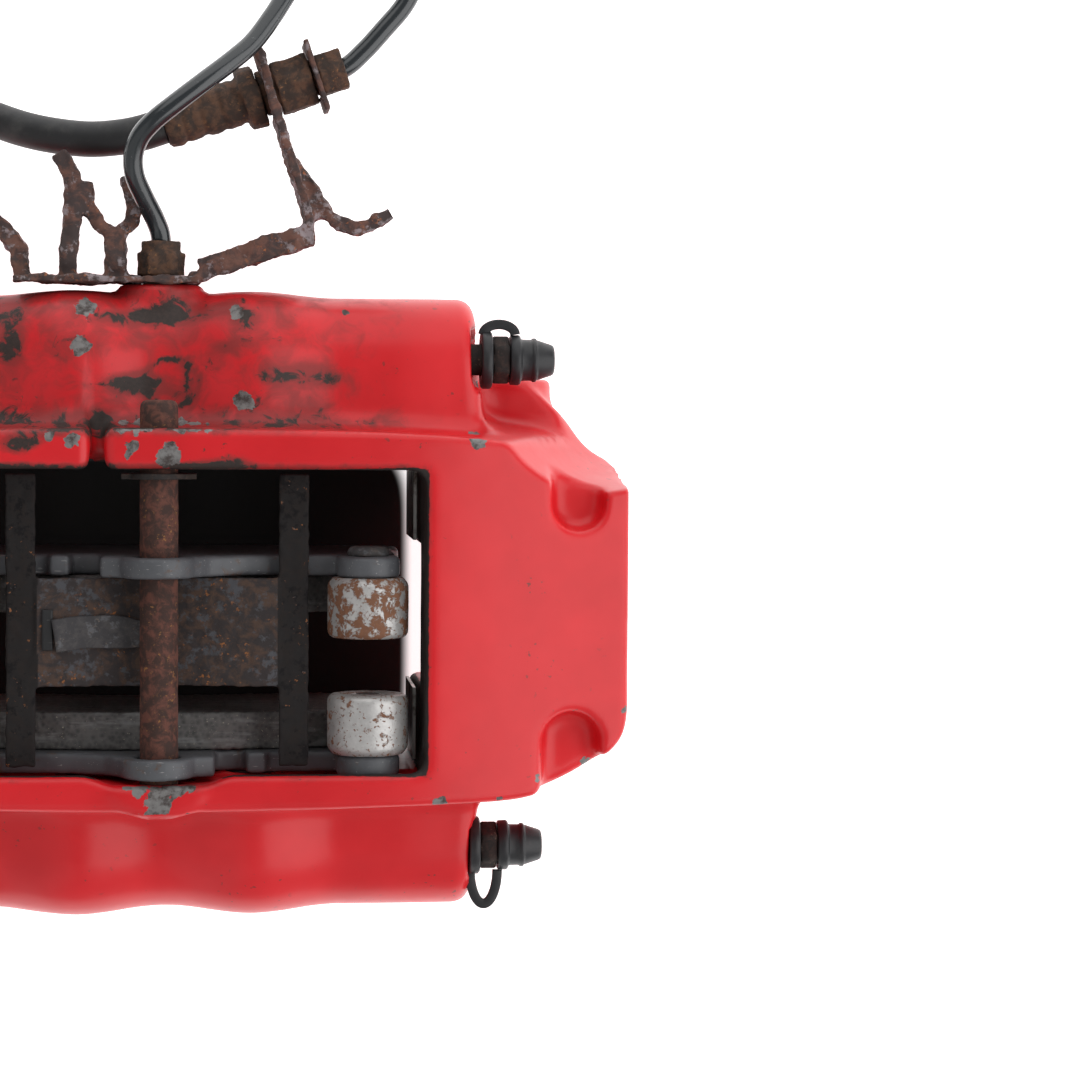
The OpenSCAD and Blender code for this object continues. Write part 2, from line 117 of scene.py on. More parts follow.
# The floor's shadow under the part is painted: inside this oblong the paper turns dark grey and stops glowing.
SHADOW_AT = (-2, 0, 0)
SHADOW_HALF = (0.0675, 0.044)  # metres along X and Y
SHADOW_START, SHADOW_END = 0.90, 1.12  # where the shadow fades, as shares of its half sizes
PAINTED_SHADOW_GREY, WHITE_PAPER, GLOW = 0.02, 0.93, 0.9


def vector_math(tree, operation, *values):
    """One vector node's outputs; sockets given are linked and numbers are set."""
    node = tree.nodes.new("ShaderNodeVectorMath")
    node.operation = operation
    for value, socket in zip(values, node.inputs):
        if isinstance(value, bpy.types.NodeSocket):
            tree.links.new(value, socket)
        else:
            socket.default_value = value
    return node.outputs


def glowing_paper_with_painted_shadow():
    """White paper that glows a little, as if lit from below, with a painted soft oblong shadow under the part.
    """
    paper = bpy.data.materials.new("white_paper_with_painted_shadow")
    paper.use_nodes = True
    tree = paper.node_tree
    shader = tree.nodes["Principled BSDF"]
    shader.inputs["Roughness"].default_value = 0.9
    place = tree.nodes.new("ShaderNodeTexCoord").outputs["Object"]
    away = vector_math(tree, "SUBTRACT", place, tuple(put(SHADOW_AT)))["Vector"]
    away = vector_math(tree, "MULTIPLY", away, (1 / SHADOW_HALF[0], 1 / SHADOW_HALF[1], 0))["Vector"]
    squared = vector_math(tree, "MULTIPLY", away, away)["Vector"]
    fourth = vector_math(tree, "MULTIPLY", squared, squared)["Vector"]
    glow = tree.nodes.new("ShaderNodeMapRange")
    glow.interpolation_type = "SMOOTHSTEP"
    tree.links.new(vector_math(tree, "LENGTH", fourth)["Value"], glow.inputs["Value"])
    for name, value in (("From Min", SHADOW_START), ("From Max", SHADOW_END), ("To Max", GLOW)):
        glow.inputs[name].default_value = value
    tint = tree.nodes.new("ShaderNodeMix")
    tint.data_type = "RGBA"
    tree.links.new(glow.outputs["Result"], tint.inputs["Factor"])
    tint.inputs[6].default_value = (PAINTED_SHADOW_GREY, PAINTED_SHADOW_GREY, PAINTED_SHADOW_GREY, 1)
    tint.inputs[7].default_value = (WHITE_PAPER, WHITE_PAPER, WHITE_PAPER, 1)
    tree.links.new(tint.outputs[2], shader.inputs["Base Color"])
    shader.inputs["Emission Color"].default_value = (1, 1, 1, 1)
    tree.links.new(glow.outputs["Result"], shader.inputs["Emission Strength"])
    return paper


def make_stage():
    """Glowing paper floor with a painted shadow under the part, large soft lights and a dim plain surround."""
    half = 3.0
    z = put((0, 0, 0))[2] - 0.0002
    corners = [(-half, -half, z), (half, -half, z), (half, half, z), (-half, half, z)]
    mesh = bpy.data.meshes.new("floor")
    mesh.from_pydata(corners, [], [(0, 1, 2, 3)])
    mesh.materials.append(glowing_paper_with_painted_shadow())
    floor = bpy.data.objects.new("floor", mesh)
    show(floor)
    world = bpy.data.worlds.new("surround")
    world.use_nodes = True
    surround = world.node_tree.nodes["Background"].inputs
    surround["Color"].default_value = (1, 1, 1, 1)
    surround["Strength"].default_value = 0.30
    bpy.context.scene.world = world
    area_light("soft_right", (640, -80, 520), (60, 0, 40), 0.9, 5.2)
    area_light("soft_left", (-520, -260, 520), (0, 0, 40), 1.1, 1.3)
    area_light("soft_back", (60, 640, 260), (20, 40, 40), 0.9, 3.2)
    area_light("soft_front", (20, -640, 300), (20, -40, 40), 1.1, 0.9)
    view = bpy.context.scene.view_settings
    view.view_transform = "Standard"
    view.look = "None"
    view.exposure = 0.0


make_camera()
make_stage()


# ---------- numbers ----------

def blend_min(a, b, k):
    """The smaller of two distances, with a fillet of about k / 1.2 where they meet."""
    h = np.clip(0.5 + 0.5 * (b - a) / k, 0, 1)
    return b + (a - b) * h - k * h * (1 - h)


def blend_max(a, b, k):
    """The larger of two distances, with an edge rounded to about k / 1.2 where they meet."""
    return -blend_min(-a, -b, k)


def overlap(*distances):
    """The largest of several distances: what the solids have in common, with sharp edges."""
    return np.maximum.reduce(distances)


def union(*distances):
    """The smallest of several distances: the solids together, with sharp edges."""
    return np.minimum.reduce(distances)


def ease(t):
    """0 below 0, 1 above 1, smooth between."""
    t = np.clip(t, 0, 1)
    return t * t * (3 - 2 * t)


def lattice(cells, seed):
    """A fixed pseudo-random number from 0 to 1 for each integer cell."""
    h = cells[:, 0] * 374761393 + cells[:, 1] * 668265263 + cells[:, 2] * 2147483647 + seed * 974711
    h = (h ^ (h >> 13)) * 1274126177
    return ((h ^ (h >> 16)) & 0xFFFFFF) / 0xFFFFFF


def lumps(points, size, seed=0):
    """Smooth noise from -1 to 1, lumps about size across: the numbers at a cube's corners, blended."""
    p = points / size + 1000
    cell = np.floor(p).astype(np.int64)
    t = p - cell
    t = t * t * (3 - 2 * t)
    total = np.zeros(len(points))
    for corner in range(8):
        step = np.array([corner & 1, corner >> 1 & 1, corner >> 2 & 1])
        weight = np.prod(np.where(step, t, 1 - t), axis=1)
        total += weight * lattice(cell + step, seed)
    return 2 * total - 1


def rough_noise(points, size, octaves=3, seed=0):
    """Lumps, with half-size lumps at half height on top, a few times over."""
    return sum(lumps(points, size / 2 ** i, seed + i) / 2 ** i for i in range(octaves))


def smooth_path(points, per_step=8):
    """Smooth curve through points: between each two, a cubic shaped by their neighbours (Catmull-Rom)."""
    p = np.asarray(points, float)
    p = np.vstack([2 * p[0] - p[1], p, 2 * p[-1] - p[-2]])
    t = np.linspace(0, 1, per_step, endpoint=False)[:, None]
    rows = []
    for i in range(1, len(p) - 2):
        a, b, c, d = p[i - 1:i + 3]
        square, cube = 2 * a - 5 * b + 4 * c - d, 3 * b - a - 3 * c + d
        rows.append(0.5 * (2 * b + (c - a) * t + square * t ** 2 + cube * t ** 3))
    return np.vstack([*rows, p[-2:-1]])


# ---------- meshes ----------

def new_piece(name, points, faces, material, body, slot, replaced=()):
    """Mesh piece from points in the row frame, finished and tied to its body."""
    mesh = bpy.data.meshes.new(name)
    mesh.from_pydata([tuple(p) for p in points], [], [tuple(f) for f in faces])
    piece = bpy.data.objects.new(name, mesh)
    show(piece)
    return finish_piece(piece, material, body, slot, replaced)


def finish_piece(piece, material, body, slot, replaced=()):
    """Keeps a piece inside the CAD box, gives it its material, ties it to its body and hides the CAD nodes it
    replaces.
    """
    set_points(piece, np.clip(get_points(piece), cad_box[0], cad_box[1]))
    piece.data.materials.clear()
    piece.data.materials.append(material)
    piece.data.polygons.foreach_set("use_smooth", np.full(len(piece.data.polygons), True))
    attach(piece, body)
    if replaced:
        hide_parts(*replaced)
    return piece


def grid_faces(rows, columns):
    """Quads of a grid whose columns close on themselves, rows running along it."""
    i, j = np.meshgrid(np.arange(rows - 1), np.arange(columns), indexing="ij")
    a, b = i * columns + j, i * columns + (j + 1) % columns
    return np.stack([a, b, b + columns, a + columns], axis=-1).reshape(-1, 4)


def axes_of(direction):
    """Two unit vectors square to a direction and to each other, right-handed with it."""
    d = np.asarray(direction, float) / np.linalg.norm(direction)
    side = np.cross(d, [0, 0, 1.0] if abs(d[2]) < 0.9 else [1.0, 0, 0])
    side /= np.linalg.norm(side)
    return d, side, np.cross(d, side)


def tube(rings, start, end):
    """Rings of points joined each to the next, and closed by a fan to one point at each end."""
    n = len(rings[0])
    faces = [tuple(f) for f in grid_faces(len(rings), n)]
    first, base = len(rings) * n, (len(rings) - 1) * n
    faces += [(first, (j + 1) % n, j) for j in range(n)]
    faces += [(first + 1, base + j, base + (j + 1) % n) for j in range(n)]
    return np.vstack([*rings, start, end]), faces


def turned(profile, at, direction, sides=64):
    """Surface of revolution: each (distance along, radius) of the profile swept round the axis.

    A radius may vary round the axis when it is a function of the angle.
    """
    d, side, up = axes_of(direction)
    angle = np.linspace(0, 2 * np.pi, sides, endpoint=False)
    round_axis = np.cos(angle)[:, None] * side + np.sin(angle)[:, None] * up
    rings = []
    for along, radius in profile:
        r = radius(angle) if callable(radius) else np.full(sides, float(radius))
        rings.append(np.asarray(at) + along * d + r[:, None] * round_axis)
    return tube(rings, np.asarray(at) + profile[0][0] * d, np.asarray(at) + profile[-1][0] * d)


def swept(path, section):
    """Profile, a loop of (side, up) pairs, carried along a path without twisting.

    section is one (n, 2) array, or one for each point of the path.
    """
    path = np.asarray(path, float)
    tangent = np.gradient(path, axis=0)
    tangent /= np.linalg.norm(tangent, axis=1)[:, None]
    section = np.asarray(section, float)
    if section.ndim == 2:
        section = np.broadcast_to(section, (len(path), *section.shape))
    side = np.cross(tangent[0], [0, 0, 1.0])
    rings = []
    for here, along, profile in zip(path, tangent, section):
        side = side - along * (side @ along)
        side /= np.linalg.norm(side)
        rings.append(here + profile[:, :1] * side + profile[:, 1:] * np.cross(side, along))
    return tube(rings, rings[0].mean(0), rings[-1].mean(0))


def circle_section(radius, sides):
    """Round profile."""
    a = np.linspace(0, 2 * np.pi, sides, endpoint=False)
    return np.stack([radius * np.cos(a), radius * np.sin(a)], axis=1)


def slab_section(width, thick, sides=24, power=0.35):
    """Rounded oblong: a circle whose cosine and sine are raised towards square corners."""
    a = np.linspace(0, 2 * np.pi, sides, endpoint=False)
    c, s = np.cos(a), np.sin(a)
    across = width / 2 * np.sign(c) * np.abs(c) ** power
    return np.stack([across, thick / 2 * np.sign(s) * np.abs(s) ** power], axis=1)


def outward(points, faces):
    """The same mesh with its faces turned to point out, by the sign of its volume."""
    p = np.asarray(points, float)
    corners = [(f[0], f[i], f[i + 1]) for f in faces for i in range(1, len(f) - 1)]
    volume = sum(np.dot(p[a], np.cross(p[b], p[c])) for a, b, c in corners)
    return (points, faces) if volume > 0 else (points, [tuple(reversed(f)) for f in faces])


def joined(*meshes):
    """Several (points, faces) as one, each turned to point out."""
    points, faces, start = [], [], 0
    for p, f in meshes:
        p, f = outward(p, f)
        points.append(np.asarray(p, float))
        faces += [tuple(i + start for i in face) for face in f]
        start += len(p)
    return np.vstack(points), faces


def apply_modifier(piece, kind, **settings):
    """Runs one modifier on a piece and keeps its result as the mesh."""
    modifier = piece.modifiers.new(kind.lower(), kind)
    for key, value in settings.items():
        setattr(modifier, key, value)
    graph = bpy.context.evaluated_depsgraph_get()
    result = bpy.data.meshes.new_from_object(piece.evaluated_get(graph))
    piece.modifiers.clear()
    piece.data = result


def cad_copy(node, name):
    """A CAD node's mesh as a new object, its loose triangles merged."""
    mesh = nodes[node].data.copy()
    mesh.name = name
    work = bmesh.new()
    work.from_mesh(mesh)
    bmesh.ops.remove_doubles(work, verts=work.verts, dist=2e-6)
    bmesh.ops.dissolve_limit(work, angle_limit=math.radians(0.5), verts=work.verts, edges=work.edges)
    work.to_mesh(mesh)
    work.free()
    for layer in [a.name for a in mesh.attributes]:
        if layer.startswith("custom") or layer == "sharp_face":
            mesh.attributes.remove(mesh.attributes[layer])
    piece = bpy.data.objects.new(name, mesh)
    show(piece)
    return piece


def get_points(piece):
    """A mesh's vertices, one row each."""
    co = np.empty(len(piece.data.vertices) * 3)
    piece.data.vertices.foreach_get("co", co)
    return co.reshape(-1, 3)


def get_normals(piece):
    """A mesh's unit normals, one row for each vertex."""
    no = np.empty(len(piece.data.vertices) * 3, np.float32)
    piece.data.vertex_normals.foreach_get("vector", no)
    return no.reshape(-1, 3).astype(float)


def set_points(piece, points):
    """Moves a mesh's vertices to these rows."""
    piece.data.vertices.foreach_set("co", np.asarray(points, np.float32).ravel())
    piece.data.update()


def set_mask(piece, name, values):
    """Keeps a number per vertex for the material to read."""
    layer = piece.data.attributes.new(name, "FLOAT", "POINT")
    layer.data.foreach_set("value", np.asarray(values, np.float32))


def relax(piece, share, rounds):
    """Moves each vertex a share of the way to the mean of its neighbours, over and over."""
    edges = np.empty(len(piece.data.edges) * 2, np.int64)
    piece.data.edges.foreach_get("vertices", edges)
    a, b = edges.reshape(-1, 2).T
    points = get_points(piece)
    here, there = np.r_[a, b], np.r_[b, a]
    count = np.bincount(here, minlength=len(points))[:, None]
    for _ in range(rounds):
        total = np.stack([np.bincount(here, points[there, k], len(points)) for k in range(3)], 1)
        points = points + share * (total / count - points)
    set_points(piece, points)


def rusted(piece, voxel, depth, size, seed=0, smooth_rounds=2):
    """Remeshes a piece finely, softens it and pits it with noise along its normals (millimetres)."""
    apply_modifier(piece, "REMESH", mode="VOXEL", voxel_size=voxel / 1000)
    relax(piece, 0.5, smooth_rounds)
    points = get_points(piece)
    pits = rough_noise(taken(points), size, 3, seed)
    set_points(piece, points + get_normals(piece) * (depth / 1000 * (pits - 0.4))[:, None])
    return piece


def rusted_node(node, name, material, body, slot, *looks):
    """A CAD node remeshed, softened and pitted, in its material; looks are rusted()'s numbers."""
    return finish_piece(rusted(cad_copy(node, name), *looks), material, body, slot, [node])


# ---------- materials ----------

class Nodes:
    """Short ways to build one material's nodes."""

    def __init__(self, name):
        self.material = bpy.data.materials.new(name)
        self.material.use_nodes = True
        self.tree = self.material.node_tree
        self.shader = self.tree.nodes["Principled BSDF"]
        self.place = self.new("TexCoord").outputs["Object"]

    def new(self, kind):
        """A node of this kind."""
        return self.tree.nodes.new("ShaderNode" + kind)

    def link(self, source, socket):
        """Joins an output to an input."""
        self.tree.links.new(source, socket)

    def feed(self, value, socket):
        """Links a socket, or sets a number or a colour."""
        if isinstance(value, bpy.types.NodeSocket):
            self.link(value, socket)
        elif isinstance(value, tuple) and len(value) == 3 and socket.type == "RGBA":
            socket.default_value = (*value, 1)
        else:
            socket.default_value = value

    def stretched(self, scale):
        """The piece's own coordinates, scaled by three numbers."""
        node = self.new("Mapping")
        self.link(self.place, node.inputs["Vector"])
        node.inputs["Scale"].default_value = scale
        return node.outputs["Vector"]

    def noise(self, size, detail=4.0, roughness=0.55, distortion=0.0, at=None):
        """Noise whose features are about size millimetres across."""
        node = self.new("TexNoise")
        self.link(at or self.place, node.inputs["Vector"])
        node.inputs["Scale"].default_value = 1000 / size
        node.inputs["Detail"].default_value = detail
        node.inputs["Roughness"].default_value = roughness
        node.inputs["Distortion"].default_value = distortion
        return node.outputs["Fac"]

    def cells(self, size):
        """Distance to the nearest of many points about size millimetres apart."""
        node = self.new("TexVoronoi")
        self.link(self.place, node.inputs["Vector"])
        node.inputs["Scale"].default_value = 1000 / size
        return node.outputs["Distance"]

    def mask(self, name):
        """A number kept on the mesh by set_mask."""
        node = self.new("Attribute")
        node.attribute_name = name
        return node.outputs["Fac"]

    def math(self, operation, a, b):
        """Arithmetic on two sockets or numbers."""
        node = self.new("Math")
        node.operation = operation
        self.feed(a, node.inputs[0])
        self.feed(b, node.inputs[1])
        return node.outputs[0]

    def plus(self, a, b):
        return self.math("ADD", a, b)

    def times(self, a, b):
        return self.math("MULTIPLY", a, b)

    def most(self, a, b):
        """The larger of two."""
        return self.math("MAXIMUM", a, b)

    def ragged(self, value, amount, size, detail, roughness, distortion=0.0):
        """A value made uneven by noise about zero."""
        noise = self.noise(size, detail, roughness, distortion)
        return self.plus(value, self.times(self.math("SUBTRACT", noise, 0.5), amount))

    def step(self, value, low, high):
        """0 below low, 1 above high."""
        node = self.new("MapRange")
        node.interpolation_type = "SMOOTHSTEP"
        self.link(value, node.inputs["Value"])
        node.inputs["From Min"].default_value = low
        node.inputs["From Max"].default_value = high
        return node.outputs["Result"]

    def between(self, value, low, high):
        """A 0 to 1 number carried to low to high."""
        node = self.new("MapRange")
        self.link(value, node.inputs["Value"])
        node.inputs["To Min"].default_value = low
        node.inputs["To Max"].default_value = high
        return node.outputs["Result"]

    def mix(self, share, a, b):
        """Colour a turning to colour b as share goes from 0 to 1."""
        node = self.new("Mix")
        node.data_type = "RGBA"
        self.feed(share, node.inputs["Factor"])
        self.feed(a, node.inputs[6])
        self.feed(b, node.inputs[7])
        return node.outputs[2]

    def colours(self, value, *stops):
        """Colour ramp: (place, colour) stops."""
        node = self.new("ValToRGB")
        ramp = node.color_ramp
        while len(ramp.elements) < len(stops):
            ramp.elements.new(0.5)
        for element, (place, colour) in zip(ramp.elements, stops):
            element.position, element.color = place, (*colour, 1)
        self.link(value, node.inputs["Fac"])
        return node.outputs["Color"]

    def bump(self, height, depth, under=None):
        """Fine relief depth millimetres high."""
        node = self.new("Bump")
        node.inputs["Strength"].default_value = 1.0
        node.inputs["Distance"].default_value = depth / 1000
        self.link(height, node.inputs["Height"])
        if under is not None:
            self.link(under, node.inputs["Normal"])
        return node.outputs["Normal"]

    def finish(self, colour, roughness, normal, metallic, **fixed):
        """Feeds the shader; numbers in fixed are set on its own sockets."""
        self.feed(colour, self.shader.inputs["Base Color"])
        self.feed(roughness, self.shader.inputs["Roughness"])
        self.feed(metallic, self.shader.inputs["Metallic"])
        self.link(normal, self.shader.inputs["Normal"])
        for name, value in fixed.items():
            self.shader.inputs[name.replace("_", " ")].default_value = value
        return self.material


def red_paint():
    """Gloss red paint: bare aluminium where chipped, oily dirt and painted shade in hollows, faint waves in the
    gloss.
    """
    n = Nodes("red_paint")
    speckle = n.noise(1.1, 3, 0.6)
    # film and clot: oily dirt, and painted shade in the crease by the flange and round the window
    film_and_shade = n.step(n.ragged(n.mask("grime_and_shade"), 1.5, 7, 6, 0.62, 0.6), 0.26, 0.90)
    clot = n.step(n.ragged(n.mask("grime_and_shade"), 2.4, 4.6, 7, 0.62, 0.8), 0.82, 1.12)
    specks = n.times(n.step(n.noise(1.6, 3, 0.5), 0.655, 0.70), n.step(n.noise(18, 2), 0.50, 0.66))
    # near black on the window's inner walls: brake dust together with painted shade
    dust_and_shade = n.step(n.ragged(n.mask("inner"), 0.9, 2.4, 5, 0.6), 0.45, 0.7)
    bare = n.step(n.ragged(n.mask("bare"), 1.1, 3.4, 6, 0.62, 0.5), 0.47, 0.50)
    # colour: clean paint, then each kind of dirt with the painted shade, then the metal where the paint is gone
    colour = n.colours(n.noise(22, 3), (0.3, (0.56, 0.0075, 0.012)), (0.7, (0.66, 0.012, 0.018)))
    colour = n.mix(n.times(film_and_shade, 0.72), colour, (0.14, 0.020, 0.017))
    colour = n.mix(clot, colour, n.mix(speckle, (0.012, 0.009, 0.008), (0.045, 0.026, 0.021)))
    colour = n.mix(n.times(specks, 0.8), colour, (0.09, 0.030, 0.022))
    colour = n.mix(dust_and_shade, colour, n.mix(speckle, (0.006, 0.005, 0.005), (0.030, 0.018, 0.015)))
    metal = n.mix(n.noise(1.8, 6, 0.7), (0.14, 0.135, 0.135), (0.32, 0.31, 0.30))
    metal = n.mix(n.step(n.noise(3.0, 5, 0.65), 0.42, 0.66), metal, (0.075, 0.060, 0.056))
    colour = n.mix(bare, colour, metal)
    # gloss and relief
    gritty = n.most(clot, bare)
    dull = n.most(n.times(film_and_shade, 0.7), n.most(gritty, dust_and_shade))
    roughness = n.plus(n.between(dull, 0.33, 0.62), n.times(n.noise(3, 3), 0.08))
    waves = n.bump(n.noise(9, 2, 0.4), 0.05)
    peel = n.bump(n.noise(0.9, 2, 0.5), 0.010, waves)
    sunk = n.bump(n.math("SUBTRACT", 1.0, bare), 0.10, peel)
    relief = n.bump(n.times(gritty, n.noise(0.5, 4, 0.7)), 0.07, sunk)
    return n.finish(colour, roughness, relief, n.times(bare, 0.75), Coat_Weight=0.10, Coat_Roughness=0.16,
                    Specular_IOR_Level=0.36)


def rust(name, dark, brown, orange, size=3.0, grey=None):
    """Rusted steel: dark scale, brown blotches, small orange blooms; grey where rubbed.

    It is darkened towards near black where the piece's darkening mask is 1.
    """
    n = Nodes(name)
    big = n.noise(size, 6, 0.65, 0.4)
    colour = n.mix(n.step(big, 0.42, 0.62), dark, brown)
    small_blooms = n.step(n.noise(size * 0.33, 4, 0.6), 0.57, 0.68)
    bloom = n.times(small_blooms, n.step(n.noise(size * 1.6, 3), 0.48, 0.62))
    colour = n.mix(bloom, colour, orange)
    grain = n.noise(size * 0.12, 4, 0.7)
    colour = n.mix(n.times(grain, 0.35), colour, tuple(0.35 * c for c in dark))
    metallic = 0.0
    if grey is not None:
        high_spots = n.plus(n.noise(size * 0.8, 6, 0.7), n.times(n.noise(size * 4, 2), 0.5))
        rubbed = n.step(high_spots, 0.78, 0.90)
        colour = n.mix(rubbed, colour, grey)
        metallic = n.times(rubbed, 0.6)
    darkened = n.times(n.mask("darkened"), n.step(n.math("SUBTRACT", 1.0, bloom), 0.1, 0.6))
    colour = n.mix(darkened, colour, tuple(0.25 * c for c in dark))
    pits = n.bump(grain, 0.05, n.bump(big, 0.12))
    return n.finish(colour, n.between(big, 0.75, 0.9), pits, metallic, Specular_IOR_Level=0.35)


def dark_plate(name, base, brown):
    """Worn dark paint on steel with fine pale scratches and a little rust."""
    n = Nodes(name)
    colour = n.mix(n.noise(6, 4), base, tuple(1.5 * c for c in base))
    colour = n.mix(n.step(n.noise(5, 6, 0.65, 0.5), 0.56, 0.72), colour, brown)
    scratches = n.step(n.noise(1.0, 2, at=n.stretched((0.15, 1.6, 3.2))), 0.66, 0.72)
    colour = n.mix(n.times(scratches, 0.6), colour, (0.30, 0.29, 0.29))
    relief = n.bump(n.noise(0.8, 4, 0.65), 0.03)
    return n.finish(colour, n.between(n.noise(4, 4), 0.38, 0.62), relief, 0.0, Specular_IOR_Level=0.45)


def friction_material():
    """Pressed friction material: dark grey-brown crumbs with bright metal flecks and rubbed streaks."""
    n = Nodes("friction")
    crumbs = n.cells(1.3)
    colour = n.colours(crumbs, (0.1, (0.055, 0.052, 0.052)), (0.7, (0.115, 0.108, 0.104)))
    colour = n.mix(n.step(n.noise(0.55, 2), 0.68, 0.72), colour, (0.34, 0.30, 0.24))
    streaks = n.step(n.noise(2.2, 4, at=n.stretched((0.08, 1.0, 1.3))), 0.52, 0.68)
    colour = n.mix(n.times(streaks, 0.5), colour, (0.24, 0.235, 0.235))
    return n.finish(colour, n.between(crumbs, 0.55, 0.8), n.bump(crumbs, 0.06), 0.1)


def zinc_plate():
    """Zinc plate going over to brown rust in soft-edged patches, with rust pin-pricks in the rest."""
    n = Nodes("zinc_plate")
    bright = n.mix(n.noise(2.0, 5, 0.65), (0.30, 0.29, 0.285), (0.60, 0.585, 0.57))
    patches = n.noise(3.4, 7, 0.66, 0.3)
    pricks = n.step(n.noise(1.1, 3, 0.55), 0.60, 0.66)
    brown = n.mix(n.noise(1.5, 5, 0.7), (0.090, 0.042, 0.026), (0.25, 0.105, 0.050))
    gone = n.most(n.step(n.plus(patches, n.mask("rust")), 0.49, 0.56), n.times(pricks, 0.85))
    colour = n.mix(gone, bright, brown)
    relief = n.bump(gone, 0.10, n.bump(n.noise(0.7, 4), 0.03))
    return n.finish(colour, n.between(gone, 0.46, 0.85), relief, n.between(gone, 0.5, 0.0))


def plain_metal(name, colour, low, high, size, stain):
    """Machined or plated metal with uneven sheen and stains."""
    n = Nodes(name)
    tint = n.mix(n.noise(size, 4), tuple(0.8 * c for c in colour), colour)
    tint = n.mix(n.step(n.noise(size * 1.7, 6, 0.65), 0.5, 0.66), tint, stain)
    return n.finish(tint, n.between(n.noise(size * 0.6, 4), low, high), n.bump(n.noise(0.6, 3), 0.015), 1.0)


def rubber(name, colour, low, high, dust, depth=0.02):
    """Black rubber with a fine matt grain and a little grey dust."""
    n = Nodes(name)
    powder = n.times(n.step(n.noise(9, 5, 0.6), 0.45, 0.75), dust)
    tint = n.mix(powder, colour, (0.075, 0.070, 0.066))
    grain = n.bump(n.noise(0.45, 3), depth)
    return n.finish(tint, n.between(n.noise(2.5, 4), low, high), grain, 0.0, Specular_IOR_Level=0.4)


def pipe_coating():
    """Smooth black plastic coat over steel, scuffed to grey in short streaks."""
    n = Nodes("pipe_coat")
    scuff = n.step(n.noise(2.2, 6, 0.68, 0.6), 0.63, 0.70)
    tint = n.mix(n.times(scuff, 0.5), (0.012, 0.016, 0.019), (0.16, 0.165, 0.165))
    return n.finish(tint, n.between(scuff, 0.22, 0.5), n.bump(n.noise(6, 3), 0.03), 0.0, Coat_Weight=0.4,
                    Coat_Roughness=0.12)


paint = red_paint()
pin_rust = rust("rusty_pin", (0.048, 0.024, 0.019), (0.140, 0.052, 0.037), (0.29, 0.13, 0.045))
spring_rust = rust("spring_steel", (0.035, 0.028, 0.028), (0.085, 0.050, 0.036), (0.33, 0.12, 0.035), 3.6,
                   (0.10, 0.10, 0.11))
tongue_steel = rust("tongue_steel", (0.055, 0.052, 0.055), (0.085, 0.078, 0.078), (0.16, 0.13, 0.11), 3.0,
                    (0.16, 0.16, 0.17))
bracket_rust = rust("bracket_rust", (0.060, 0.042, 0.040), (0.165, 0.078, 0.058), (0.40, 0.135, 0.050), 4.5,
                    (0.34, 0.29, 0.30))
rivet_steel = rust("rivet_steel", (0.050, 0.048, 0.050), (0.085, 0.070, 0.062), (0.15, 0.09, 0.06), 3.0,
                   (0.13, 0.13, 0.135))
fitting_rust = rust("fitting_rust", (0.050, 0.033, 0.026), (0.130, 0.066, 0.040), (0.26, 0.12, 0.05))
dark_steel = rust("dark_steel", (0.022, 0.018, 0.017), (0.050, 0.032, 0.026), (0.12, 0.055, 0.03))
bleed_steel = rust("bleed_steel", (0.018, 0.013, 0.012), (0.040, 0.024, 0.020), (0.15, 0.10, 0.07), 2.4)
plate_paint = dark_plate("pad_plate", (0.062, 0.064, 0.070), (0.085, 0.045, 0.028))
# a near-black sheet for the shadow in the spring's slot: painted shadow, not paint on steel
painted_slot_shadow = dark_plate("painted_slot_shadow", (0.008, 0.008, 0.009), (0.02, 0.012, 0.01))
friction = friction_material()
zinc = zinc_plate()
anodised = plain_metal("piston_metal", (0.42, 0.43, 0.44), 0.30, 0.45, 6.0, (0.16, 0.14, 0.12))
stainless = plain_metal("stainless", (0.50, 0.49, 0.47), 0.30, 0.5, 5.0, (0.09, 0.07, 0.055))
plated = plain_metal("fastener", (0.46, 0.44, 0.41), 0.35, 0.55, 3.0, (0.12, 0.07, 0.045))
seal_rubber = rubber("seal_rubber", (0.012, 0.012, 0.013), 0.42, 0.62, 0.35)
cap_rubber = rubber("cap_rubber", (0.014, 0.014, 0.016), 0.34, 0.52, 0.25)
hose_rubber = rubber("hose_rubber", (0.014, 0.014, 0.015), 0.40, 0.58, 0.5, 0.03)
pipe_coat = pipe_coating()


# ---------- casting ----------

# where the features are, in millimetres
TOP_Z = 74
PIN_X, PIN_Z = -0.9, 66
PAD_X = -1.3
BORE_X, BORE_Z = 23, 30
EAR_X, EAR_Z = 91, 16
PIPE_X, PIPE_Z = -1, 36
SLOT_X = -16.3
BLEED_Z = 43
BLEEDERS = {"inboard": (81, 67), "outboard": (78.4, -61)}
WINDOW_HALF = (66.6, 38.7)


def swell(x):
    """Rise over each cylinder: one cosine hump about each bore."""
    pitch = 2 * BORE_X
    return np.where(np.abs(x) < pitch, (1 - np.cos(2 * np.pi * x / pitch)) / 2, 0)


def bank_distance(x, y, z, outer):
    """One cylinder bank on the +Y side: a block with a humped, sloping top and well-rounded outer edges."""
    hump = swell(x)
    top = z - (52.5 + 5.5 * hump - 0.10 * (y - 49) - 1.2 * ease((np.abs(x) - 60) / 21))
    back = y - (outer + 1.5 * hump)
    end = np.abs(x) - (82.9 if outer > 80 else 82.0) + 0.055 * (y - 50)
    block = blend_max(top, back, 17)
    block = blend_max(block, -z, 9)
    block = blend_max(block, end, 5)
    return blend_max(block, 30 - y, 1)


